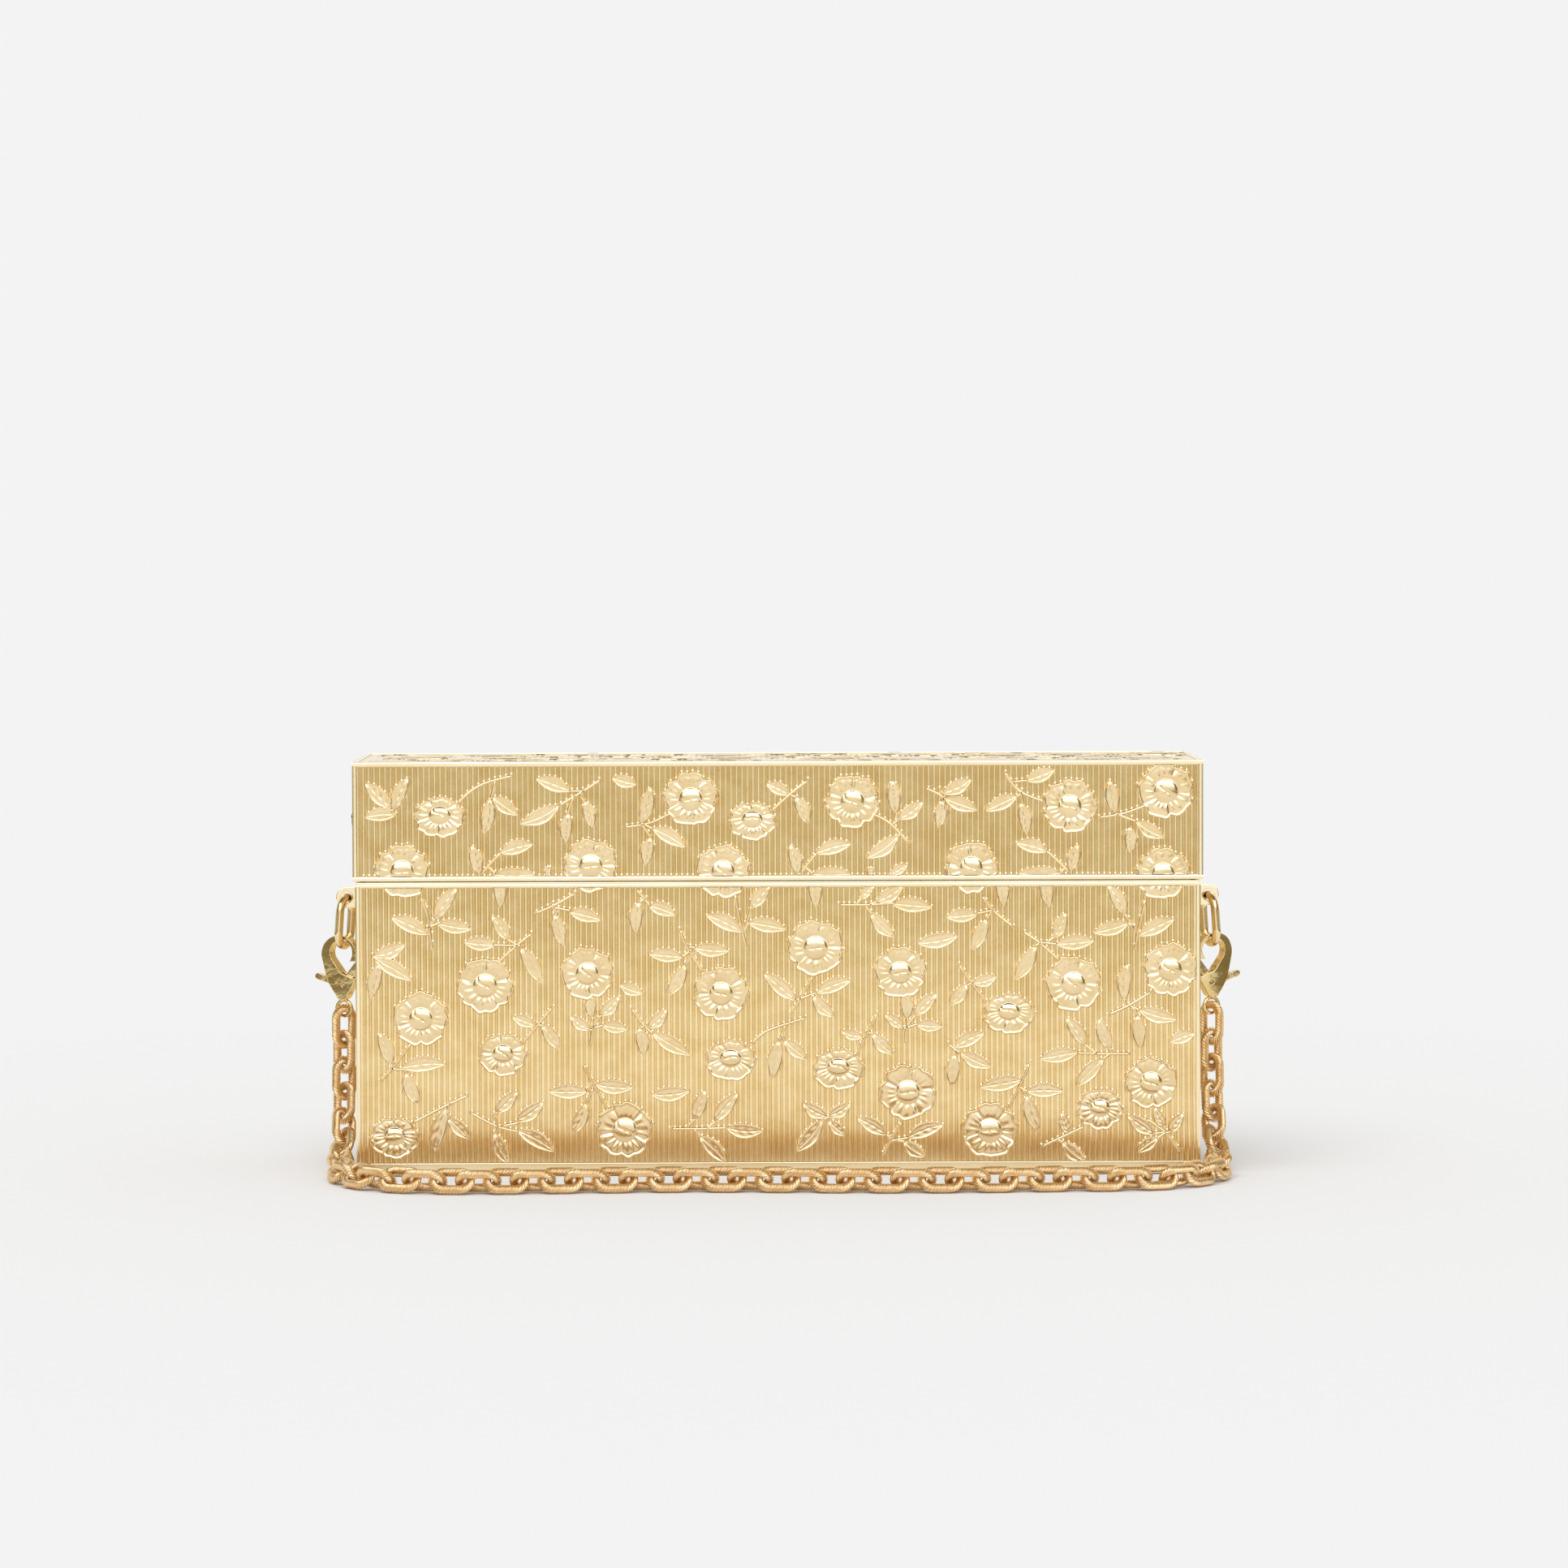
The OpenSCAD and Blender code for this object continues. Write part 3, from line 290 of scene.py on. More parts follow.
def piece(name, mesh, body, node=None, smooth=None, metals=()):
    """Puts a finished mesh in the scene: on its body and in the place of its CAD node."""
    made = bpy.data.objects.new(name, mesh)
    scene.collection.objects.link(made)
    for metal in metals:
        mesh.materials.append(metal)
    if smooth is not None:
        mesh.polygons.foreach_set("use_smooth", [smooth] * len(mesh.polygons))
    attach(made, body)
    if node:
        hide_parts(node)
    return made


def curve_through(points, steps):
    """Points on a smooth curve through the given ones, so many steps from each to the next."""
    fine = []
    last = len(points) - 1
    for i in range(last):
        a, b, c, d = (points[min(max(i + k, 0), last)] for k in (-1, 0, 1, 2))
        for k in range(steps + (i == last - 1)):
            t = k / steps
            bent = 2 * b + (c - a) * t + (2 * a - 5 * b + 4 * c - d) * t * t
            fine.append((bent + (3 * b - a - 3 * c + d) * t**3) / 2)
    return np.array(fine)


link_length, link_width, link_wire = 10.4 * mm, 6.8 * mm, 2.0 * mm
link_pitch = 5.95 * mm
link_roll = 45
drop_links = 6
# The strap's middle line in millimetres, from the left clasp's eye to the right one's.
route = [
    (-98.9, -1, 34.7), (-98.9, -1, 30), (-98.9, -1, 24.5), (-98.9, -2, 18), (-98.8, -5, 11.5),
    (-98.6, -10, 6.5), (-98.4, -17, 3.5), (-98.4, -25, 2.8), (-97.5, -34.5, 2.8), (-93.5, -44, 2.8),
    (-86, -51, 2.8), (-75, -54.5, 2.8), (-62, -55, 2.8), (-42, -53.5, 2.8), (-20, -52.5, 2.8),
    (0, -53.5, 2.8), (20, -55, 2.8), (42, -55, 2.8), (62, -53.5, 2.8), (76, -53, 2.8),
    (87, -49.5, 2.8), (94.5, -42, 2.8), (98, -33, 2.8), (98.6, -25, 2.8), (98.8, -17, 3.5),
    (98.8, -10, 6.5), (98.9, -5, 11.5), (98.9, -2, 18), (98.9, -1, 24.5), (98.9, -1, 30),
    (98.9, -1, 34.7),
]
stations = curve_through(np.array(route) * mm, 12)
run = np.concatenate([[0], np.cumsum(np.linalg.norm(np.diff(stations, axis=0), axis=1))])
link_count = 2 * round((run[-1] / link_pitch - 1) / 2) + 1
marks = run[-1] * np.arange(link_count + 1) / link_count
joints = np.stack([np.interp(marks, run, stations[:, k]) for k in range(3)], 1)

# Links: an oval line swept by a round wire whose outline has a groove between each two strands. The line
# is tilted along its length, so that the grooves wind round it like a rope's.
oval, given = new_tree("oval_wire_links", "Places", {
    "Link length": link_length, "Link width": link_width, "Wire diameter": link_wire, "Strand depth": 0.38,
    "Strands": 8.0, "Turns of twist": -4.0, "Steps along": 60, "Steps round": 36,
})
wide = minus(oval, given["Link width"], given["Wire diameter"])
tall = minus(oval, given["Link length"], given["Wire diameter"])
box_line = new_node(oval, "GeometryNodeCurvePrimitiveQuadrilateral", {"Width": wide, "Height": tall})
almost_half = times(oval, wide, 0.4999)
rounding = {"Curve": box_line, "Radius": almost_half, "Count": 16, "Limit Radius": True}
oval_line = new_node(oval, "GeometryNodeFilletCurve", rounding, mode="POLY")
even_steps = {"Curve": oval_line, "Count": given["Steps along"]}
evenly = new_node(oval, "GeometryNodeResampleCurve", even_steps, mode="COUNT")
share_of_line = new_node(oval, "GeometryNodeSplineParameter").outputs["Factor"]
turned = times(oval, share_of_line, given["Turns of twist"])
turned = times(oval, turned, 2 * pi)
twisted = new_node(oval, "GeometryNodeSetCurveTilt", {"Curve": evenly, "Tilt": turned})
radius = times(oval, given["Wire diameter"], 0.5)
round_wire = {"Resolution": given["Steps round"], "Radius": radius}
section = new_node(oval, "GeometryNodeCurvePrimitiveCircle", round_wire)
angle = times(oval, times(oval, share_of_line, given["Strands"]), pi)
strand = minus(oval, 1.0, calc(oval, "ABSOLUTE", calc(oval, "COSINE", angle)))
sunk = minus(oval, 1.0, times(oval, strand, given["Strand depth"]))
here = new_node(oval, "GeometryNodeInputPosition")
drawn_in = new_node(oval, "ShaderNodeVectorMath", {0: here, "Scale": sunk}, operation="SCALE")
grooved = new_node(oval, "GeometryNodeSetPosition", {"Geometry": section, "Position": drawn_in})
swept = new_node(oval, "GeometryNodeCurveToMesh", {"Curve": twisted, "Profile Curve": grooved})
turn = new_node(oval, "GeometryNodeInputNamedAttribute", {"Name": "turn"}, data_type="FLOAT_VECTOR")
turned_so = new_node(oval, "FunctionNodeEulerToRotation", {0: turn.outputs["Attribute"]})
placed = {"Points": given["Places"], "Instance": swept, "Rotation": turned_so}
finish_tree(oval, given, new_node(oval, "GeometryNodeInstanceOnPoints", placed))

# Each link's axes and place. The links are turned from upright half a right angle either way, by turns.
link_frames = []
for i in range(link_count):
    t = joints[i + 1] - joints[i]
    t /= np.linalg.norm(t)
    n = np.array([0, -abs(t[2]), 1 - abs(t[2])])
    n -= (n @ t) * t
    n /= np.linalg.norm(n)
    roll = radians(link_roll * (-1 if i % 2 == 0 else 1))
    p = cos(roll) * np.cross(n, t) + sin(roll) * n
    mid = (joints[i] + joints[i + 1]) / 2
    link_frames.append(np.stack([p, t, np.cross(p, t), mid], 1))
rose_satin = plated("rose_satin_gold", (0.92, 0.68, 0.39), (0.82, 0.56, 0.27), 0.30, 260.0, 3000.0, 0.02)
floor_end = link_count - drop_links
for name, first, last in (
    ("left_drop", 0, drop_links), ("floor_run", drop_links, floor_end), ("right_drop", floor_end, link_count),
):
    link_places = places("strap_" + name + "_places", link_frames[first:last])
    links = grown("strap_" + name, oval, link_places, {"Metal": rose_satin})
    strap = piece("strap_" + name, links, "base", "chain_" + name, True)

# Case frames: the base box and the lid are soldered up from brass sheet. Raised frames stand round
# the sunk panels; they are polished and plated in a pale gold, with their edges just broken.
pale_gold = plated("pale_polished_gold", (0.985, 0.86, 0.60), (0.95, 0.80, 0.52), 0.16, 60.0, 1500.0, 0.01)


def merged_copy(node, name):
    """A copy of a CAD node's mesh with its loose triangles joined."""
    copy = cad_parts[node].data.copy()
    copy.name = name
    copy.materials.clear()
    work = bmesh.new()
    work.from_mesh(copy)
    bmesh.ops.remove_doubles(work, verts=work.verts, dist=0.002 * mm)
    bmesh.ops.dissolve_degenerate(work, edges=work.edges, dist=0.001 * mm)
    work.to_mesh(copy)
    work.free()
    return copy


def broken_edges(node, name, body, width=0.1 * mm):
    """A CAD node's own shape in pale gold, with its sharp edges broken by a small bevel."""
    made = piece(name, merged_copy(node, name), body, node, False, [pale_gold])
    set_up(
        made.modifiers.new("edges", "BEVEL"), width=width, segments=2, limit_method="ANGLE",
        angle_limit=radians(40), use_clamp_overlap=False, harden_normals=False,
    )


broken_edges("base_shell", "base_case", "base")
broken_edges("lid_shell", "lid_case", "lid")


def strip_faces(rows, columns, closed=False):
    """Quads of a grid of rows by columns, wrapped round if closed."""
    wide = columns if closed else columns - 1
    r, c = np.meshgrid(np.arange(rows - 1), np.arange(wide), indexing="ij")
    r, c = r.ravel(), c.ravel()
    d = (c + 1) % columns
    return np.stack([r * columns + c, r * columns + d, (r + 1) * columns + d, (r + 1) * columns + c], 1)


def moulding(name, body, points, faces):
    """A closed piece of moulding in pale gold, smooth up to its sharp edges."""
    mesh = bpy.data.meshes.new(name)
    mesh.from_pydata(points, [], faces)
    work = bmesh.new()
    work.from_mesh(mesh)
    bmesh.ops.recalc_face_normals(work, faces=work.faces)
    work.to_mesh(mesh)
    work.free()
    piece(name, mesh, body, smooth=True, metals=[pale_gold])
    mesh.set_sharp_from_angle(angle=radians(50))


def edging(name, body, x, front, back, z, height, proud):
    """Rounded moulding along the front and both ends of a box, closed at its two back ends."""
    bow = np.linspace(-pi / 2, pi / 2, 9)
    lift, out = height / 2 * np.sin(bow), proud * np.cos(bow) ** 0.6
    out[0] = out[-1] = -0.05 * mm
    corners = [(-1, back, 0), (-1, front, -1), (1, front, -1), (1, back, 0)]
    points = [(s * (x + d), y + toward * d, z + h) for s, y, toward in corners for h, d in zip(lift, out)]
    rows = len(bow)
    faces = [tuple(reversed(f)) for f in strip_faces(len(corners), rows).tolist()]
    faces += [tuple(range(rows)), tuple(reversed(range(3 * rows, 4 * rows)))]
    faces += [(k * rows, (k + 1) * rows, (k + 1) * rows + rows - 1, k * rows + rows - 1) for k in range(3)]
    moulding(name, body, points, faces)


def corner_strip(name, body, side, x, y, low, top):
    """Upright moulding down one front corner of a box, wrapped round the corner."""
    around = [(-1.0, 0.05), (-0.97, -0.06), (-0.88, -0.12), (-0.7, -0.14), (-0.35, -0.14), (-0.14, -0.11),
              (-0.04, -0.04), (0.02, 0.08), (0.03, 0.3), (0.03, 0.8), (-0.05, 0.85)]
    columns = len(around)
    points = [(side * (x + a * mm), y + b * mm, z) for z in (low, top) for a, b in around]
    faces = [(k, k + 1, columns + k + 1, columns + k) for k in range(columns - 1)]
    faces += [(columns - 1, 0, columns, 2 * columns - 1)]
    faces += [tuple(range(columns)), tuple(range(columns, 2 * columns))]
    moulding(name, body, points, faces)


rim_back = 17 * mm
base_x, base_y, lid_x, lid_y = 94.5 * mm, -23.7 * mm, 95.0 * mm, -24.2 * mm
edging("base_rim_bead", "base", base_x, base_y, rim_back, 65.8 * mm, 0.34 * mm, 0.14 * mm)
edging("base_rim_band", "base", base_x, base_y, rim_back, 65.16 * mm, 0.72 * mm, 0.1 * mm)
edging("lid_rim_band", "lid", lid_x, lid_y, rim_back, 66.75 * mm, 0.86 * mm, 0.14 * mm)
edging("lid_crown_band", "lid", lid_x, lid_y, rim_back, 92.4 * mm, 0.9 * mm, 0.12 * mm)
for side, end in ((-1, "left"), (1, "right")):
    corner_strip("base_" + end + "_corner", "base", side, base_x, base_y, 2.95 * mm, 65.0 * mm)
    corner_strip("lid_" + end + "_corner", "lid", side, lid_x, lid_y, 67.1 * mm, 92.1 * mm)

# Embossed panels: thin brass sheets pressed with upright ribs and a fine ridge in each groove, and with
# flowers, leaves and stems. They are let into the frames; the ribs' ends stand as beads above each motif.
rib_pitch = 1.226 * mm
rib_share = 0.66
rib_height, ridge_height = 0.24 * mm, 0.1 * mm
rib_roundness, ridge_roundness = 2.8, 2.0
# Faces of the ribs lower than this height get a darker gold: painted shade in the grooves.
painted_shade_below = 0.12 * mm
bead_width, bead_length, bead_depth, bead_rise = 0.66 * mm, 0.82 * mm, 0.34 * mm, 0.2 * mm
bead_lean = radians(-13)
bead_above_motif, bead_above_cut, least_to_top, bare_cells = 0.24 * mm, 0.32 * mm, 0.3 * mm, 6
sheet_thickness = 0.4 * mm
flower_size, leaf_size = 12 * mm, 7.5 * mm
case_height = 90.1 * mm
# Places are in thousandths of the sheet, angles in degrees, sizes and squashes in hundredths. Each flower:
# place, turn, size, squash. Each leaf: stalk end, direction, size. Each stem: the points it runs through.
flowers = [
    (98, 860, 10, 94, 80), (396, 904, 20, 100, 100), (469, 848, -10, 88, 80), (588, 897, 50, 100, 100),
    (846, 884, 0, 100, 100), (960, 921, 30, 103, 100), (53, 726, 15, 100, 100), (277, 739, 40, 100, 100),
    (434, 724, 5, 100, 100), (729, 732, 60, 97, 100), (957, 715, 20, 97, 100), (72, 359, 18, 101, 100),
    (149, 442, 54, 103, 100), (170, 269, -8, 88, 90), (40, 63, -12, 90, 85), (271, 471, 30, 97, 100),
    (431, 420, 0, 101, 100), (442, 253, 8, 93, 82), (315, 81, 10, 103, 100), (544, 533, 40, 103, 100),
    (645, 471, 20, 96, 100), (571, 230, 6, 94, 82), (654, 173, 45, 103, 100), (752, 77, 15, 103, 100),
    (775, 367, 0, 94, 80), (852, 442, 36, 103, 100), (968, 476, 10, 100, 100), (945, 194, 25, 96, 100),
    (884, 129, 60, 85, 90),
]
leaves = [
    (40, 884, 135, 106), (43, 880, 65, 105), (46, 868, -175, 93), (158, 906, -100, 108),
    (161, 910, -35, 93), (253, 925, 160, 108), (240, 889, -155, 130), (251, 869, -95, 89),
    (271, 899, -75, 81), (332, 941, 165, 76), (337, 845, 75, 111), (351, 831, -30, 111),
    (348, 809, -100, 85), (145, 720, 105, 87), (170, 772, 15, 100), (513, 914, 155, 75),
    (521, 908, -65, 88), (639, 867, 95, 99), (643, 853, 35, 87), (642, 811, -145, 114), (695, 917, 25, 95),
    (698, 903, -20, 102), (695, 897, -100, 80), (523, 718, 105, 88), (545, 769, 15, 107),
    (794, 948, 20, 91), (783, 908, -155, 101), (788, 892, -80, 97), (819, 772, 165, 95), (847, 722, 75, 82),
    (900, 867, 100, 98), (925, 845, -30, 97), (917, 831, -90, 77), (81, 570, 155, 120), (93, 596, -10, 100),
    (90, 609, 55, 112), (17, 516, 20, 97), (18, 507, -30, 125), (23, 497, -105, 105), (36, 247, 110, 100),
    (48, 237, 5, 133), (54, 225, -70, 99), (161, 543, 175, 92), (192, 535, -60, 122), (177, 556, 125, 85),
    (164, 720, -85, 102), (233, 618, -75, 98), (209, 342, 160, 72), (217, 342, -55, 87),
    (102, 137, -105, 138), (104, 111, -45, 86), (162, 125, 45, 89), (185, 103, 35, 101),
    (187, 80, -30, 126), (159, 74, -65, 101), (270, 177, 180, 114), (251, 624, -15, 95),
    (333, 648, -95, 96), (345, 640, -20, 85), (385, 511, 175, 99), (399, 534, -5, 104),
    (388, 491, -120, 103), (456, 574, 155, 116), (464, 596, -10, 115), (467, 633, 50, 89),
    (310, 443, -20, 74), (276, 362, 90, 66), (287, 366, 45, 79), (289, 343, -10, 76), (274, 331, 145, 71),
    (344, 335, 45, 77), (333, 335, -80, 82), (349, 321, -30, 131), (280, 195, -5, 114),
    (269, 147, -115, 100), (347, 169, 5, 115), (399, 107, 70, 92), (422, 101, 50, 111), (437, 85, -5, 109),
    (405, 63, -45, 110), (500, 302, -100, 114), (520, 403, 140, 123), (545, 421, 20, 109),
    (541, 413, -45, 88), (541, 717, -85, 102), (636, 642, -5, 119), (610, 618, -45, 100),
    (598, 654, 45, 58), (666, 544, 10, 122), (737, 615, -175, 92), (748, 603, -115, 101),
    (653, 356, 95, 76), (663, 364, 45, 91), (665, 341, -5, 75), (649, 333, 145, 67), (600, 311, 165, 65),
    (612, 319, -45, 88), (506, 302, -40, 88), (725, 440, -130, 79), (732, 444, 15, 73), (709, 284, 25, 100),
    (717, 270, -25, 103), (710, 266, -95, 93), (557, 111, 150, 82), (559, 113, 30, 76),
    (552, 104, -130, 123), (559, 100, -40, 67), (628, 67, 150, 99), (654, 59, 20, 112), (649, 49, -35, 78),
    (791, 203, -170, 130), (796, 174, 0, 109), (796, 164, -70, 116), (806, 535, -120, 116),
    (832, 541, 5, 114), (829, 556, 65, 82), (762, 716, -80, 99), (820, 716, -85, 103),
    (918, 592, -165, 108), (930, 561, 25, 118), (914, 614, 120, 102), (913, 401, 85, 108),
    (931, 376, -15, 116), (929, 362, -85, 98), (968, 295, 20, 79), (866, 289, 125, 98), (896, 279, 110, 96),
    (857, 271, -170, 115), (888, 253, -135, 113), (848, 66, 110, 69), (839, 46, -40, 91),
    (949, 66, 145, 97), (968, 70, 55, 69), (953, 55, -145, 72), (961, 84, 115, 64), (162, 718, 0, 122),
    (540, 717, 0, 115), (835, 718, 180, 126), (225, 710, 85, 39), (609, 706, 85, 38), (633, 715, 30, 59),
    (617, 648, 30, 91),
]
stems = [
    (120, 896, 133, 922, 153, 946, 184, 963), (164, 950, 159, 906), (240, 889, 269, 925, 288, 951),
    (253, 925, 271, 925), (371, 868, 347, 845, 318, 835), (337, 845, 351, 831), (170, 772, 147, 720),
    (492, 874, 513, 914, 534, 948), (611, 867, 632, 843, 655, 793), (526, 718, 545, 769),
    (676, 929, 695, 907, 698, 873), (769, 966, 786, 922, 815, 896), (819, 772, 846, 720),
    (936, 885, 909, 865, 882, 856), (900, 865, 925, 845), (73, 659, 80, 625, 83, 584, 86, 531),
    (81, 586, 96, 600), (24, 207, 37, 235, 60, 298), (37, 235, 53, 233), (163, 496, 187, 541, 204, 569),
    (159, 543, 192, 541), (210, 622, 228, 637, 240, 650, 256, 669), (230, 644, 236, 618),
    (193, 297, 211, 342, 228, 384), (62, 101, 95, 136, 127, 168), (131, 125, 163, 90, 188, 78),
    (159, 117, 163, 90, 160, 74), (331, 678, 347, 637), (383, 576, 391, 534, 410, 471),
    (385, 511, 395, 528), (448, 665, 457, 574, 462, 533), (458, 572, 464, 596),
    (275, 293, 278, 337, 287, 366), (325, 380, 337, 345, 349, 321), (267, 242, 277, 199, 297, 126),
    (270, 177, 277, 199), (269, 147, 277, 183), (372, 83, 405, 83, 437, 85), (399, 107, 391, 89),
    (468, 296, 487, 328, 531, 358), (500, 302, 507, 338), (515, 373, 526, 409, 540, 460),
    (520, 403, 545, 421), (574, 640, 608, 640, 639, 644), (604, 636, 612, 616),
    (651, 297, 653, 335, 663, 364), (649, 331, 666, 343), (594, 269, 604, 315, 617, 366),
    (716, 487, 729, 449, 748, 396), (703, 290, 717, 270), (624, 17, 635, 59, 646, 96), (633, 51, 654, 59),
    (774, 132, 788, 188, 799, 241), (788, 184, 797, 172), (744, 658, 758, 621, 780, 584),
    (748, 603, 756, 627), (793, 570, 812, 543, 836, 499), (812, 545, 832, 541),
    (926, 527, 929, 569, 938, 648), (914, 614, 928, 569), (918, 592, 927, 577),
    (896, 366, 918, 387, 944, 419), (919, 267, 889, 267, 857, 269), (866, 289, 880, 267),
    (816, 38, 839, 60, 864, 84), (941, 102, 962, 70, 979, 25), (83, 588, 89, 608),
    (15, 516, 23, 503, 29, 492), (176, 557, 188, 542), (228, 637, 251, 628), (277, 361, 279, 333),
    (290, 342, 280, 336), (170, 92, 187, 99), (107, 151, 104, 135, 104, 122), (219, 342, 212, 343),
    (37, 246, 38, 234), (106, 109, 103, 127), (334, 649, 341, 656), (400, 535, 393, 537),
    (389, 493, 396, 517), (467, 635, 463, 605, 458, 577), (542, 413, 537, 415), (599, 655, 593, 641),
    (617, 648, 609, 640), (613, 319, 607, 321), (507, 302, 504, 317), (334, 335, 341, 341),
    (423, 100, 414, 84), (406, 63, 399, 81), (629, 67, 635, 54), (650, 49, 640, 53), (554, 105, 560, 112),
    (737, 617, 755, 625), (806, 536, 813, 544), (829, 558, 822, 546), (913, 402, 915, 387),
    (931, 376, 919, 386), (929, 363, 925, 376, 919, 386), (896, 279, 899, 268), (888, 254, 895, 266),
    (711, 266, 710, 278), (796, 164, 792, 176), (839, 46, 833, 54), (949, 67, 961, 70), (968, 71, 963, 68),
    (953, 55, 962, 69), (961, 84, 962, 72), (725, 440, 732, 444), (654, 357, 653, 334), (37, 884, 42, 871),
    (40, 880, 43, 870), (250, 869, 253, 893, 259, 913), (270, 899, 266, 913, 268, 924),
    (348, 810, 343, 827, 337, 843), (521, 908, 515, 914), (640, 868, 642, 853, 636, 840),
    (644, 854, 642, 851), (796, 948, 780, 945), (785, 909, 789, 919), (790, 893, 788, 919),
    (919, 832, 920, 849), (696, 917, 693, 923), (696, 898, 696, 907), (40, 884, 40, 880),
    (43, 880, 41, 878), (46, 868, 43, 870), (642, 811, 645, 816), (698, 903, 696, 903),
    (523, 718, 526, 718), (783, 908, 785, 909), (81, 570, 83, 571), (23, 497, 25, 501), (54, 225, 53, 233),
    (192, 535, 192, 541), (164, 720, 155, 738), (233, 618, 236, 620), (162, 125, 159, 117),
    (274, 331, 277, 330), (541, 717, 532, 733), (600, 311, 603, 309), (559, 100, 557, 109),
    (162, 718, 164, 721), (835, 718, 840, 730),
]
# A motif's outer edge lies a little under the sheet's face, at this height in millimetres.
root = -0.06
stem_half, stem_cover, stem_overlap = 0.38 * mm, 0.36 * mm, 0.4 * mm
ribbed_gold = plated("ribbed_gold", (0.97, 0.80, 0.49), (0.91, 0.71, 0.38), 0.16, 220.0, 1800.0, 0.015)
# Painted shade: a darker copy of the rib gold, put on the low faces of the grooves between the ribs.
groove_painted_shade_gold = plated("groove_painted_shade_gold", (0.88, 0.715, 0.43), (0.82, 0.635, 0.34), 0.18, 220.0, 1800.0, 0.015)
relief_gold = plated("relief_gold", (0.88, 0.705, 0.435), (0.82, 0.625, 0.345), 0.16, 220.0, 1800.0, 0.015)

# The ribs are a row of folded strips over the sheet, each one a fine ridge between two halves of a rib.
# The row's two outer edges lie flat.
rib_labels = ("Panel width", "Panel height", "Rib pitch", "Rib share", "Rib height", "Ridge height")
ribs, given = new_tree("upright_ribs", "Ground", dict.fromkeys(rib_labels, 0.0))
pitch, share_of_pitch = given["Rib pitch"], given["Rib share"]
half_width, half_height = (times(ribs, given[k], 0.5) for k in rib_labels[:2])
count = calc(ribs, "FLOOR", calc(ribs, "DIVIDE", given["Panel width"], pitch))
used = times(ribs, minus(ribs, count, 1.0), pitch)
spare = times(ribs, minus(ribs, given["Panel width"], used), 0.5)
first_at = new_node(ribs, "ShaderNodeCombineXYZ", {"X": spare, "Y": half_height})
step = new_node(ribs, "ShaderNodeCombineXYZ", {"X": pitch})
row = new_node(ribs, "GeometryNodeMeshLine", {"Count": count, "Start Location": first_at, "Offset": step})
grid = {"Vertices X": 19, "Vertices Y": 2, "Size X": pitch, "Size Y": given["Panel height"]}
strip = new_node(ribs, "GeometryNodeMeshGrid", grid)
spot = new_node(ribs, "ShaderNodeSeparateXYZ", {0: new_node(ribs, "GeometryNodeInputPosition")}).outputs
share = calc(ribs, "DIVIDE", times(ribs, spot["X"], 2.0), pitch)
share = calc(ribs, "ABSOLUTE", share)
from_rib = calc(ribs, "DIVIDE", minus(ribs, 1.0, share), share_of_pitch)
from_ridge = calc(ribs, "DIVIDE", share, minus(ribs, 1.0, share_of_pitch))


def rounded(tree, from_middle, roundness, height):
    """Height of a rounded section at a share of its half width, and 0 beside it."""
    bow = minus(tree, 1.0, calc(tree, "POWER", from_middle, roundness))
    return times(tree, calc(tree, "MAXIMUM", bow, 0.0), height)


rib_top = rounded(ribs, from_rib, rib_roundness, given["Rib height"])
ridge_top = rounded(ribs, from_ridge, ridge_roundness, given["Ridge height"])
lift = new_node(ribs, "ShaderNodeCombineXYZ", {"Z": calc(ribs, "MAXIMUM", rib_top, ridge_top)})
crowned = new_node(ribs, "GeometryNodeSetPosition", {"Geometry": strip, "Offset": lift})
rib_row = new_node(ribs, "GeometryNodeInstanceOnPoints", {"Points": row, "Instance": crowned})
whole_row = new_node(ribs, "GeometryNodeRealizeInstances", {0: rib_row})
half_row = times(ribs, times(ribs, count, pitch), 0.5)
off_middle = calc(ribs, "ABSOLUTE", minus(ribs, spot["X"], half_width))
inside = calc(ribs, "LESS_THAN", off_middle, minus(ribs, half_row, 0.01 * mm))
flat_outside = {"X": spot["X"], "Y": spot["Y"], "Z": times(ribs, spot["Z"], inside)}
shut = new_node(ribs, "ShaderNodeCombineXYZ", flat_outside)
shut_row = {"Geometry": whole_row, "Position": shut}
finish_tree(ribs, given, new_node(ribs, "GeometryNodeSetPosition", shut_row))

bead_labels = ("Bead width", "Bead length", "Bead depth", "Bead lean")
beads, given = new_tree("rib_end_beads", "Places", dict.fromkeys(bead_labels, 0.0))
ball = new_node(beads, "GeometryNodeMeshUVSphere", {"Segments": 8, "Rings": 6, "Radius": 0.5})
bead_axes = dict(zip("XYZ", (given[k] for k in bead_labels[:3])))
bead_size = new_node(beads, "ShaderNodeCombineXYZ", bead_axes)
bead_turn = new_node(beads, "ShaderNodeCombineXYZ", {"X": given["Bead lean"]})
bead_set = {"Points": given["Places"], "Instance": ball, "Scale": bead_size, "Rotation": bead_turn}
finish_tree(beads, given, new_node(beads, "GeometryNodeInstanceOnPoints", bead_set))


def flower_edge(angle, size, turn):
    """Half width of a flower with five ruffled petals at an angle, unturned."""
    lobe = np.abs(np.cos(2.5 * angle)) ** 0.55
    ruffle = 1 + 0.03 * np.cos(11 * angle + 2 * sin(turn)) + 0.014 * np.sin(17 * angle + turn)
    return size / 2 * (0.93 + 0.11 * lobe) * ruffle


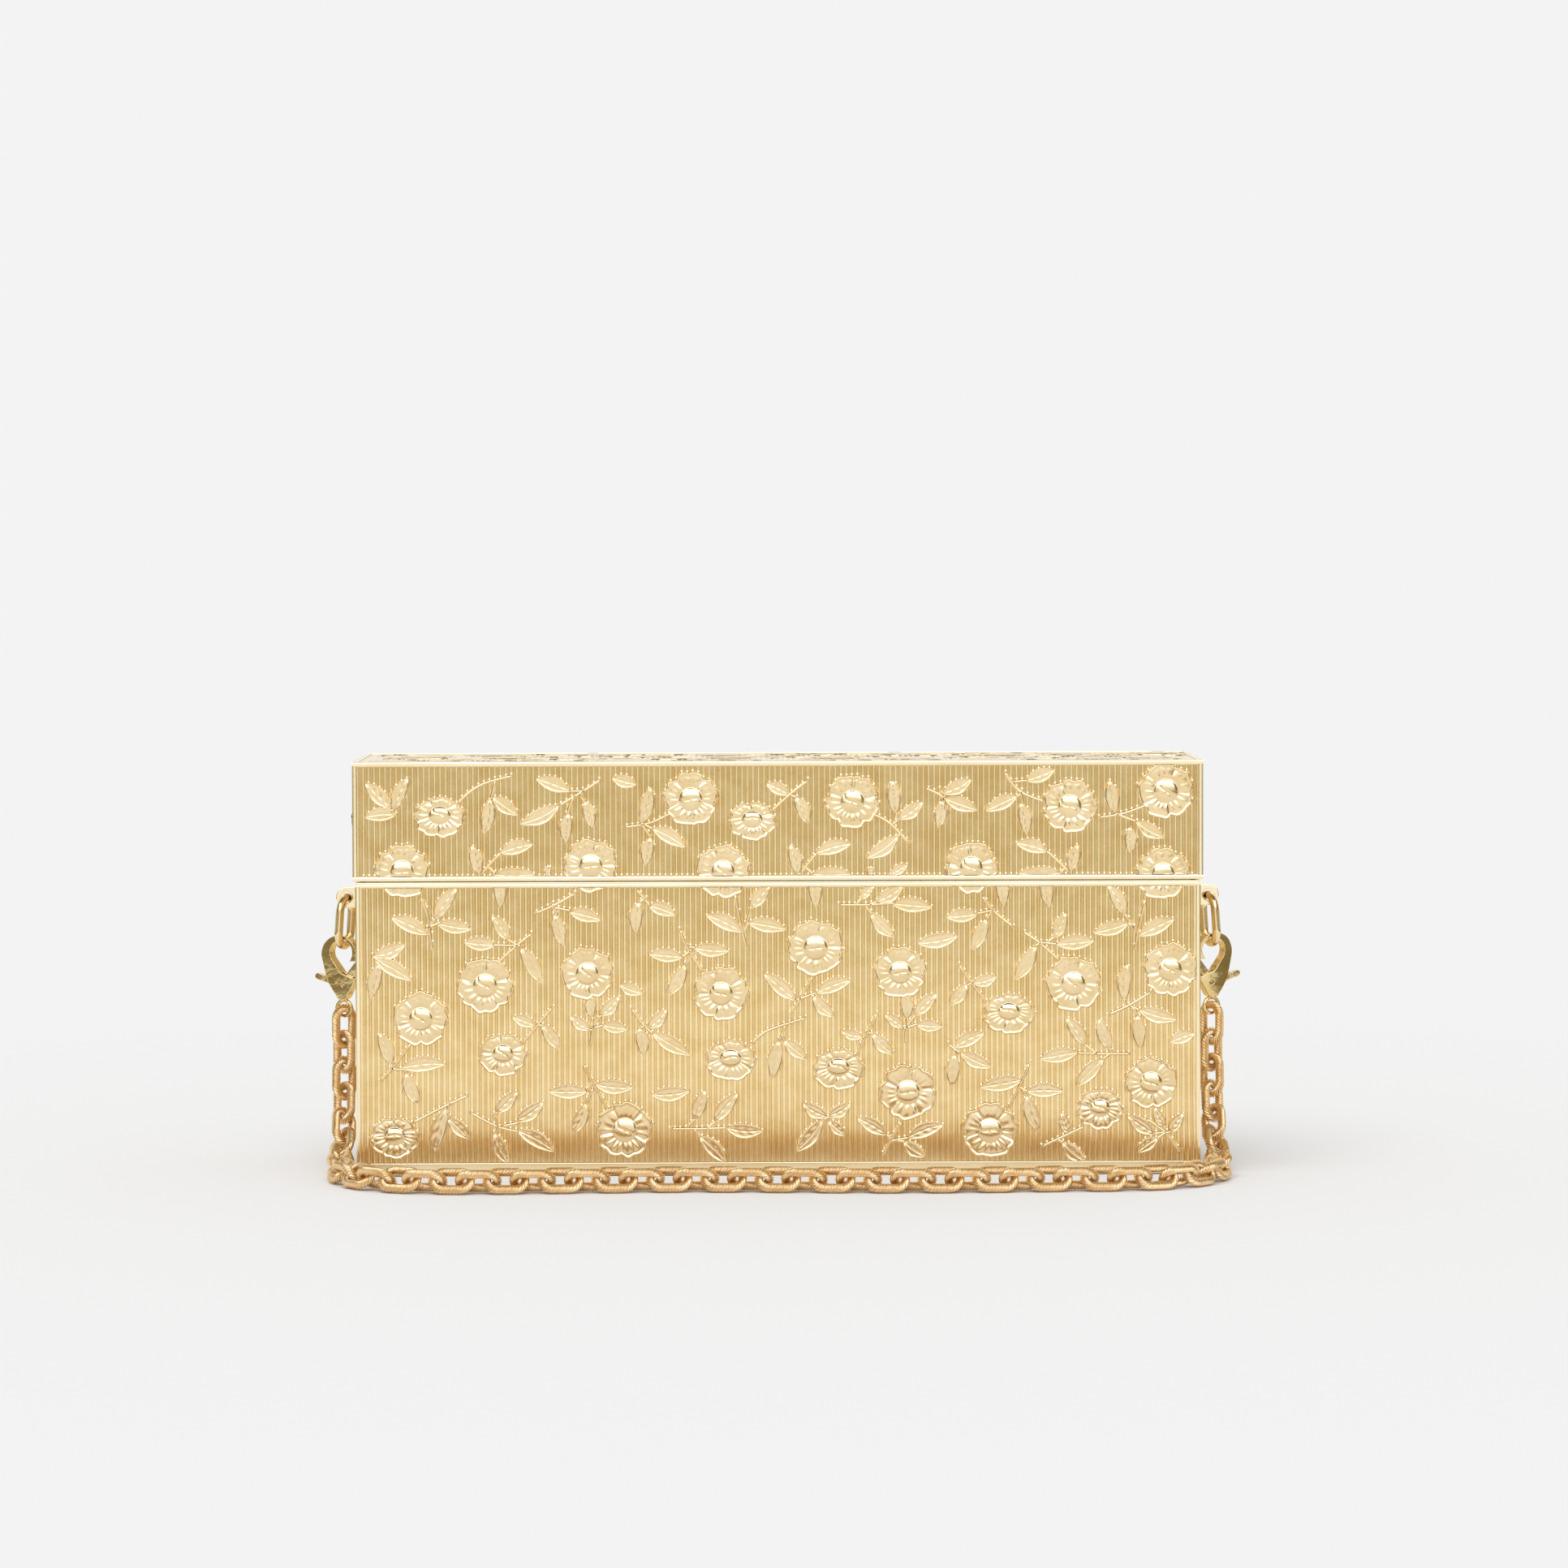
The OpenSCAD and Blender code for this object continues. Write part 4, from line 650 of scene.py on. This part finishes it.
def flower_form(size, turn, squash, relief):
    """Dished petals with pressed folds round a domed bud; squashed if seen from its side."""
    steps_round, bud, round_edge = 100, 0.46, size / 2 * 0.93
    out = np.array([0.04, 0.1, 0.16, 0.22, 0.28, 0.33, 0.375, 0.41, 0.437, 0.455, 0.48, 0.52, 0.58, 0.65,
                    0.73, 0.81, 0.87, 0.905, 0.93, 0.955, 0.975, 0.99, 1.0])
    r, a = np.meshgrid(out, np.linspace(0, 2 * pi, steps_round, endpoint=False), indexing="ij")
    edge = flower_edge(a, size, turn)
    edge = np.where(r < bud, round_edge, round_edge + (edge - round_edge) * np.clip((r - bud) / 0.3, 0, 1))
    world = a + radians(turn)
    s, t = r * edge * np.cos(world), r * edge * np.sin(world)
    shift = (1 - squash) * 0.45 * size
    t = t * squash + shift * np.clip(1 - r, 0, 1)
    # Petals: they rise from the bud and fall to the rim, with a gap between two and pressed folds.
    petal = np.clip((r - bud) / (0.92 - bud), 0, 1)
    between = np.exp(-((np.cos(2.5 * a) / 0.16) ** 2))
    up, over = np.clip(petal / 0.35, 0, 1), np.clip((petal - 0.3) / 0.7, 0, 1)
    height = 0.4 + 0.14 * up * up * (3 - 2 * up) - 0.07 * over**1.5
    height -= 0.2 * between * np.clip(petal * 2.2, 0, 1)
    height += 0.05 * (((a * 5 / (2 * pi) + 0.5) % 1) - 0.5) * np.clip(petal * 2, 0, 1)
    folds = np.cos(19 * a + 2.2 * np.sin(2 * a + turn) + 1.2 * petal)
    height += 0.085 * folds * np.sin(pi * np.clip(petal / 0.8, 0, 1)) * (0.7 - 0.3 * np.sin(world))
    height = np.maximum(height, 0.3)
    # Rim: a bright rolled edge with a line inside it, rounded off at the outside.
    height += 0.14 * np.exp(-(((r - 0.945) / 0.03) ** 2)) - 0.05 * np.exp(-(((r - 0.87) / 0.04) ** 2))
    rim = np.clip((r - 0.95) / 0.05, 0, 1)
    height *= np.sqrt(np.clip(1 - 0.8 * rim**2, 0, 1))
    # Bud: a dome with an S-shaped seam across it.
    u, v = r * np.cos(world) / bud, r * np.sin(world) / bud
    lean = radians(40 + 25 * sin(turn))
    across, along = u * cos(lean) + v * sin(lean), v * cos(lean) - u * sin(lean)
    seam = across + 0.34 * np.sin(2.7 * along)
    dome = 0.36 + 0.5 * np.clip(1 - (r / bud) ** 2.3, 0, 1) ** 0.62
    dome += 0.06 * np.tanh(seam / 0.08) * np.clip(1.2 - r / bud, 0, 1)
    dome -= 0.14 * np.exp(-((seam / 0.12) ** 2)) * np.clip(1.25 - r / bud, 0, 1)
    height = np.where(r < bud, dome, height)
    height[-1] = root
    points = np.stack([s.ravel(), t.ravel(), height.ravel() * relief * mm], 1)
    hub = np.array([[0, shift, float(dome[0].mean()) * relief * mm]])
    ring = np.arange(steps_round)
    fan = np.stack([ring, (ring + 1) % steps_round, np.full(steps_round, len(points))], 1)
    faces = [f[::-1] for f in strip_faces(len(out), steps_round, True).tolist()] + fan.tolist()
    return np.vstack([points, hub]), faces


def leaf_half(length, p):
    """Half width of a leaf at a share of its length; short leaves are plumper."""
    most = min(1.22 * mm + 0.055 * length, 0.26 * length)
    return most * np.clip(1 - (2 * p - 1) ** 2, 0, 1) ** 0.85 * (1.08 - 0.16 * p)


def leaf_form(length, bend, relief):
    """Pointed leaf with a rounded rim, softly dished veined halves, from its stalk end along X."""
    p = 0.5 - 0.5 * np.cos(np.linspace(0, pi, 27))
    share = np.array([-1, -0.985, -0.95, -0.9, -0.85, -0.8, -0.72, -0.5, -0.25, -0.06, 0])
    section = np.array([root, 0.36, 0.5, 0.56, 0.53, 0.46, 0.42, 0.405, 0.415, 0.41, 0.37])
    q = np.concatenate([share, -share[-2::-1]])
    across = np.concatenate([section, section[-2::-1]])
    half = leaf_half(length, p) + 0.05 * mm
    taper = np.clip(np.minimum(p, 1 - p) / 0.12 * 0.45 + 0.55, 0.55, 1)
    along, side_share = np.meshgrid(p, q, indexing="ij")
    t = side_share * half[:, None] + bend * length * np.sin(pi * along)
    inner = np.clip((0.78 - np.abs(side_share)) / 0.2, 0, 1) * np.sin(pi * along)
    veins = 0.045 * np.sin(2 * pi * (4 * along - 0.9 * np.abs(side_share)) + 40 * bend)
    h = across[None, :] * taper[:, None] + veins * inner
    h = np.where(np.abs(side_share) < 0.96, np.maximum(h, 0.27), h) * relief * mm
    points = np.stack([(along * length).ravel(), t.ravel(), h.ravel()], 1)
    return points, strip_faces(len(p), len(q))[:, ::-1].tolist()


def stem_form(line, relief):
    """Rounded stem along a line, thinner at its ends, where it dips under the motifs that it joins."""
    fine = curve_through(line, 6)
    past = fine[[1, -2]] - fine[[0, -1]]
    past *= stem_overlap / np.linalg.norm(past, axis=1)[:, None]
    fine = np.concatenate([fine[:1] - past[:1], fine, fine[-1:] - past[1:]])
    way = np.gradient(fine, axis=0)
    way /= np.linalg.norm(way, axis=1)[:, None] + 1e-12
    beside = np.stack([-way[:, 1], way[:, 0]], 1)
    q = np.array([-1, -0.75, -0.3, 0.3, 0.75, 1])
    heights = np.array([root, 0.34, 0.46, 0.46, 0.34, root]) * relief
    p = np.linspace(0, 1, len(fine))
    half = stem_half * np.clip(np.minimum(p, 1 - p) / 0.15 + 0.5, 0.5, 1)
    half[[0, -1]] *= 0.5
    flat = fine[:, None, :] + beside[:, None, :] * (q[None, :, None] * half[:, None, None])
    h = np.tile(heights, (len(fine), 1)) * mm
    h[[0, -1]] = root * relief * mm
    points = np.concatenate([flat, h[..., None]], 2).reshape(-1, 3)
    return points, strip_faces(len(fine), len(q))[:, ::-1].tolist(), fine


def sprig_sheet(left, low, width, height, sheet_width, relief):
    """All motifs in a window of the ornament: points, faces and the places of the rib-end beads."""
    points, faces, total = [], [], 0
    cell = 0.08 * mm
    across, up = int(width / cell) + 1, int(height / cell) + 1
    gs, gt = np.meshgrid(np.arange(across) * cell, np.arange(up) * cell, indexing="ij")
    covered = np.zeros((across, up), bool)
    margin = 0.75 * flower_size

    def spot_of(u, v):
        return u / 1000 * sheet_width - left, v / 1000 * case_height - low

    def near(s, t):
        return -margin < s < width + margin and -margin < t < height + margin

    def window(s, t, reach_out):
        a = slice(max(int((s - reach_out) / cell), 0), max(int((s + reach_out) / cell) + 2, 0))
        b = slice(max(int((t - reach_out) / cell), 0), max(int((t + reach_out) / cell) + 2, 0))
        return a, b

    def add(form_points, form_faces):
        nonlocal total
        points.append(form_points)
        faces.extend([i + total for i in f] for f in form_faces)
        total += len(form_points)

    for stem in stems:
        path = np.array([spot_of(u, v) for u, v in zip(stem[::2], stem[1::2])])
        if not near(*path.mean(0)):
            continue
        form_points, form_faces, fine = stem_form(path, relief)
        add(form_points, form_faces)
        between = [p + (q - p) * k for p, q in zip(fine[:-1], fine[1:]) for k in (0.25, 0.5, 0.75)]
        for s, t in [*fine, *between]:
            a, b = window(s, t, stem_cover)
            covered[a, b] |= (gs[a, b] - s) ** 2 + (gt[a, b] - t) ** 2 < stem_cover**2
    for i, (u, v, turn, size) in enumerate(leaves):
        s, t = spot_of(u, v)
        if not near(s, t):
            continue
        length = leaf_size * (size / 100)
        bend = 0.05 * sin(2.4 * i)
        form_points, form_faces = leaf_form(length, bend, relief)
        c, d = cos(radians(turn)), sin(radians(turn))
        form_points[:, :2] = form_points[:, :2] @ np.array([[c, d], [-d, c]]) + (s, t)
        add(form_points, form_faces)
        a, b = window(s, t, length * 1.05)
        x, y = gs[a, b] - s, gt[a, b] - t
        p = (x * c + y * d) / length
        q = -x * d + y * c - bend * length * np.sin(pi * p)
        covered[a, b] |= (p > 0) & (p < 1) & (np.abs(q) < leaf_half(length, p))
    for u, v, turn, size, squash in flowers:
        s, t = spot_of(u, v)
        if not near(s, t):
            continue
        width_here, squash = flower_size * (size / 100), squash / 100
        form_points, form_faces = flower_form(width_here, turn, squash, relief)
        form_points[:, :2] += (s, t)
        add(form_points, form_faces)
        a, b = window(s, t, 0.6 * flower_size)
        x, y = gs[a, b] - s, (gt[a, b] - t) / squash
        angle = np.arctan2(y, x) - radians(turn)
        covered[a, b] |= np.hypot(x, y) < flower_edge(angle, width_here, turn)
    # A bead stands on each rib's end just above a motif, and on the ends along a lid's lower edge.
    rib_n = int(width / rib_pitch)
    start = (width - rib_n * rib_pitch) / 2
    bead_places = []
    for k in range(1, rib_n):
        s = start + k * rib_pitch
        column = covered[min(int(s / cell), across - 1)]
        for j in np.flatnonzero(column[:-1] & ~column[1:]):
            t = j * cell + bead_above_motif
            if t < height - least_to_top and not column[min(j + bare_cells, up - 1)]:
                bead_places.append((s, t, bead_rise * relief))
        if low > 0 and not column[int(bead_above_cut / cell)]:
            bead_places.append((s, bead_above_cut, bead_rise * relief))
    return np.vstack(points), faces, bead_places


def taken_in(work, mesh):
    """Adds a mesh to a panel in the making and gives back the faces that came with it."""
    before = set(work.faces)
    work.from_mesh(mesh)
    return [f for f in work.faces if f not in before]


def embossed(panel, body, right, up, out, window_left, window_low, sheet_width, relief):
    """One embossed panel: the ribbed sheet with its beads, and the sprigs over it, cut at the frame."""
    name, node = panel + "_sheet", panel + "_panel"
    low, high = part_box(node)
    corners = [Vector((x, y, z)) for x in (low.x, high.x) for y in (low.y, high.y) for z in (low.z, high.z)]
    (left, far_side), (foot, top), (back, _) = (
        (min(c.dot(way) for c in corners), max(c.dot(way) for c in corners)) for way in (right, up, out)
    )
    width, height = far_side - left, top - foot
    points, faces, bead_places = sprig_sheet(window_left, window_low, width, height, sheet_width, relief)
    sprigs = bmesh.new()
    made = [sprigs.verts.new(p) for p in points]
    for f in faces:
        sprigs.faces.new([made[i] for i in f]).smooth = True
    for at, outwards in (
        ((0, 0, 0), (-1, 0, 0)), ((width, 0, 0), (1, 0, 0)),
        ((0, 0, 0), (0, -1, 0)), ((0, height, 0), (0, 1, 0)),
    ):
        everything = list(sprigs.verts) + list(sprigs.edges) + list(sprigs.faces)
        bmesh.ops.bisect_plane(
            sprigs, geom=everything, plane_co=at, plane_no=outwards, clear_outer=True, dist=1e-7
        )
    sheet = bmesh.new()
    for v in bmesh.ops.create_cube(sheet, size=1.0)["verts"]:
        v.co = Vector(((v.co.x + 0.5) * width, (v.co.y + 0.5) * height, (v.co.z - 0.5) * sheet_thickness))
    rib_sizes = (width, height, rib_pitch, rib_share, rib_height * relief, ridge_height * relief)
    rib_sizes = {**dict(zip(rib_labels, rib_sizes)), "Metal": ribbed_gold}
    for f in taken_in(sheet, grown(name + "_ribs", ribs, bpy.data.meshes.new(name + "_start"), rib_sizes)):
        # Faces low in the grooves take the darker gold as painted shade; the rest keep the rib gold.
        f.material_index = 0 if f.calc_center_median().z > painted_shade_below * relief else 1
        f.smooth = False
    dots = bpy.data.meshes.new(name + "_bead_places")
    dots.from_pydata(bead_places, [], [])
    bead_sizes = (bead_width, bead_length, bead_depth * relief, bead_lean)
    bead_sizes = {**dict(zip(bead_labels, bead_sizes)), "Metal": pale_gold}
    for f in taken_in(sheet, grown(name + "_beads", beads, dots, bead_sizes)):
        f.material_index = 2
        f.smooth = True
    turn = Matrix((right, up, out)).transposed().to_4x4()
    turn.translation = left * right + foot * up + out * (back + sheet_thickness)
    for part, pressed, metals, for_node in (
        ("", sheet, (ribbed_gold, groove_painted_shade_gold, pale_gold), node), ("_sprigs", sprigs, (relief_gold,), None),
    ):
        bmesh.ops.transform(pressed, matrix=turn, verts=pressed.verts)
        mesh = bpy.data.meshes.new(name + part)
        pressed.to_mesh(mesh)
        pressed.free()
        piece(name + part, mesh, body, for_node, metals=metals)


# The ornament runs on across the seam, in front and at the back. The ends show a part of it, pressed less
# deep, and the lid's top is the shallowest.
x_axis, y_axis, z_axis = Vector((1, 0, 0)), Vector((0, 1, 0)), Vector((0, 0, 1))
end_relief, top_relief = 0.7, 0.43
sides = (
    ("_front", x_axis, -y_axis), ("_rear", -x_axis, y_axis),
    ("_left", -y_axis, -x_axis), ("_right", y_axis, x_axis),
)
for body, sheet_width, end_from, front_low, rear_low in (
    ("base", 187.2 * mm, 43.7 * mm, 0, 0), ("lid", 188.1 * mm, 44.1 * mm, 64.35 * mm, 70.55 * mm),
):
    for side, right, out in sides:
        start, relief = (end_from, end_relief) if side in ("_left", "_right") else (0, 1.0)
        low = rear_low if side == "_rear" else front_low
        embossed(body + side, body, right, z_axis, out, start, low, sheet_width, relief)
embossed("lid_top", "lid", x_axis, y_axis, z_axis, 0, 0, 187.8 * mm, top_relief)

# Closing lip: a brass band soldered inside the base's mouth, which the lid closes over, with a seat
# for a magnet at each side. Nickel-plated magnets and steel strikers hold the lid shut.
broken_edges("closing_lip", "lip_band", "base", 0.06 * mm)
nickel = plated("nickel_plate", (0.72, 0.72, 0.74), (0.62, 0.62, 0.65), 0.25, 300.0, 3000.0, 0.01)


def plate_node(node, metal):
    """Shows a CAD node as it is, in one metal."""
    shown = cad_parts[node].data.materials
    shown.clear()
    shown.append(metal)


for node in ("base_magnets", "lid_strikers", "hinge_pin", "left_clasp_spring", "right_clasp_spring"):
    plate_node(node, nickel)

# Lining: suede cloth glued over thin card, one open tray in the base and one in the lid, with
# rounded corners and a rolled edge.
suede, nap, cloth, _ = mottled(
    "sand_suede", ((0.50, 0.40, 0.28), (0.62, 0.51, 0.37)), (0.3, 0.7), (55.0, 4.0), (3500.0, 4.0),
    bump=0.6, bump_depth=0.08 * mm,
)
feed(nap, cloth, {"Roughness": 0.95, "Specular IOR Level": 0.15})
feed(nap, cloth, {"Sheen Weight": 0.35, "Sheen Roughness": 0.5})
card_and_cloth, tray_rounding, rim_rounding = 0.95 * mm, 1.6 * mm, 0.35 * mm


def lined_tray(half, opens_up):
    """Open tray in a lining's place: thin walls, rounded corners, a rolled rim."""
    name, node = half + "_lining_tray", half + "_lining"
    low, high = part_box(node)
    work = bmesh.new()
    for v in bmesh.ops.create_cube(work, size=1.0)["verts"]:
        v.co = Vector((low[k] + (v.co[k] + 0.5) * (high[k] - low[k]) for k in range(3)))
    rim = high.z if opens_up else low.z
    mouth = [f for f in work.faces if abs(f.calc_center_median().z - rim) < 1e-6]
    bmesh.ops.delete(work, geom=mouth, context="FACES_ONLY")
    inner = [e for e in work.edges if len(e.link_faces) == 2]
    bmesh.ops.bevel(work, geom=inner, offset=tray_rounding, segments=4, profile=0.5, affect="EDGES")
    bmesh.ops.recalc_face_normals(work, faces=work.faces)
    mesh = bpy.data.meshes.new(name)
    work.to_mesh(mesh)
    work.free()
    tray = piece(name, mesh, half, node, True, [suede])
    set_up(tray.modifiers.new("cloth_on_card", "SOLIDIFY"), thickness=card_and_cloth, offset=-1.0)
    set_up(
        tray.modifiers.new("rolled_rim", "BEVEL"), width=rim_rounding, segments=3, limit_method="ANGLE",
        angle_limit=radians(50),
    )


lined_tray("base", True)
lined_tray("lid", False)

# Hinge: a brass butt hinge along the back of the seam, soldered to the plain bands, with eleven
# knuckles on one steel pin. Its leaves and knuckles are polished like the frames.
broken_edges("hinge_base_leaf", "hinge_lower_leaf", "base", 0.08 * mm)
broken_edges("hinge_lid_leaf", "hinge_upper_leaf", "lid", 0.08 * mm)

# Lugs and rings: a flat brass lug soldered to each end carries an oval ring of round wire. The rings
# hang a little turned and are polished.
ring_gold = plated("ring_gold", (0.93, 0.75, 0.46), (0.86, 0.64, 0.34), 0.15, 150.0, 1600.0, 0.01)


def cast_smooth(node, name, body, metal, grain, passes):
    """A CAD node's own shape with its edges rounded, as casting and tumbling leave it."""
    made = piece(name, merged_copy(node, name), body, node, True, [metal])
    set_up(made.modifiers.new("skin", "REMESH"), mode="VOXEL", voxel_size=grain, use_smooth_shade=True)
    set_up(made.modifiers.new("tumbled", "SMOOTH"), factor=0.5, iterations=passes)
    seen = made.evaluated_get(bpy.context.evaluated_depsgraph_get())
    solid = bpy.data.meshes.new_from_object(seen)
    made.modifiers.clear()
    made.data = solid
    solid.polygons.foreach_set("use_smooth", [True] * len(solid.polygons))


ring_length, ring_width, ring_wire = 13.0 * mm, 8.4 * mm, 1.9 * mm
ring_lean, ring_turn = radians(4), radians(20)
lug_hole = Vector((98.1 * mm, -0.95 * mm, 61.2 * mm))
for end in ("left", "right"):
    cast_smooth(end + "_lug", end + "_lug_plate", "base", pale_gold, 0.1 * mm, 3)
for sign, node in ((-1, "left_ring"), (1, "right_ring")):
    turn = Matrix.Rotation(sign * ring_turn + pi / 2, 3, "Z")
    turn = Matrix.Rotation(-sign * ring_lean, 3, "Y") @ turn
    wide, tall = turn @ x_axis, turn @ z_axis
    centre = Vector((sign * lug_hole.x, lug_hole.y, lug_hole.z)) - tall * (ring_length - ring_wire) / 2
    ring_frame = np.stack([np.array(way) for way in (wide, tall, wide.cross(tall), centre)], 1)
    sizes = {"Link length": ring_length, "Link width": ring_width, "Wire diameter": ring_wire,
             "Strand depth": 0.0, "Turns of twist": 0.0, "Steps along": 96, "Steps round": 32,
             "Metal": ring_gold}
    loop = grown(node + "_loop", oval, places(node + "_place", [ring_frame]), sizes)
    piece(node + "_loop", loop, node, node, True)

# Clasps: cast brass lobster clasps, polished and plated in a cooler gold. A pinned gate with a thumb
# knob closes the hook on its ring, and the tail eye holds the chain's first link.
cool_gold = plated("cool_clasp_gold", (0.90, 0.75, 0.44), (0.72, 0.54, 0.25), 0.10, 180.0, 260.0, 0.35)
for end in ("left", "right"):
    clasp = end + "_clasp"
    plate_node(clasp + "_pin", cool_gold)
    cast_smooth(clasp + "_body", clasp + "_hook", clasp, cool_gold, 0.085 * mm, 4)
    cast_smooth(clasp + "_gate", clasp + "_lever", end + "_gate", cool_gold, 0.075 * mm, 3)

low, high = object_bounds()
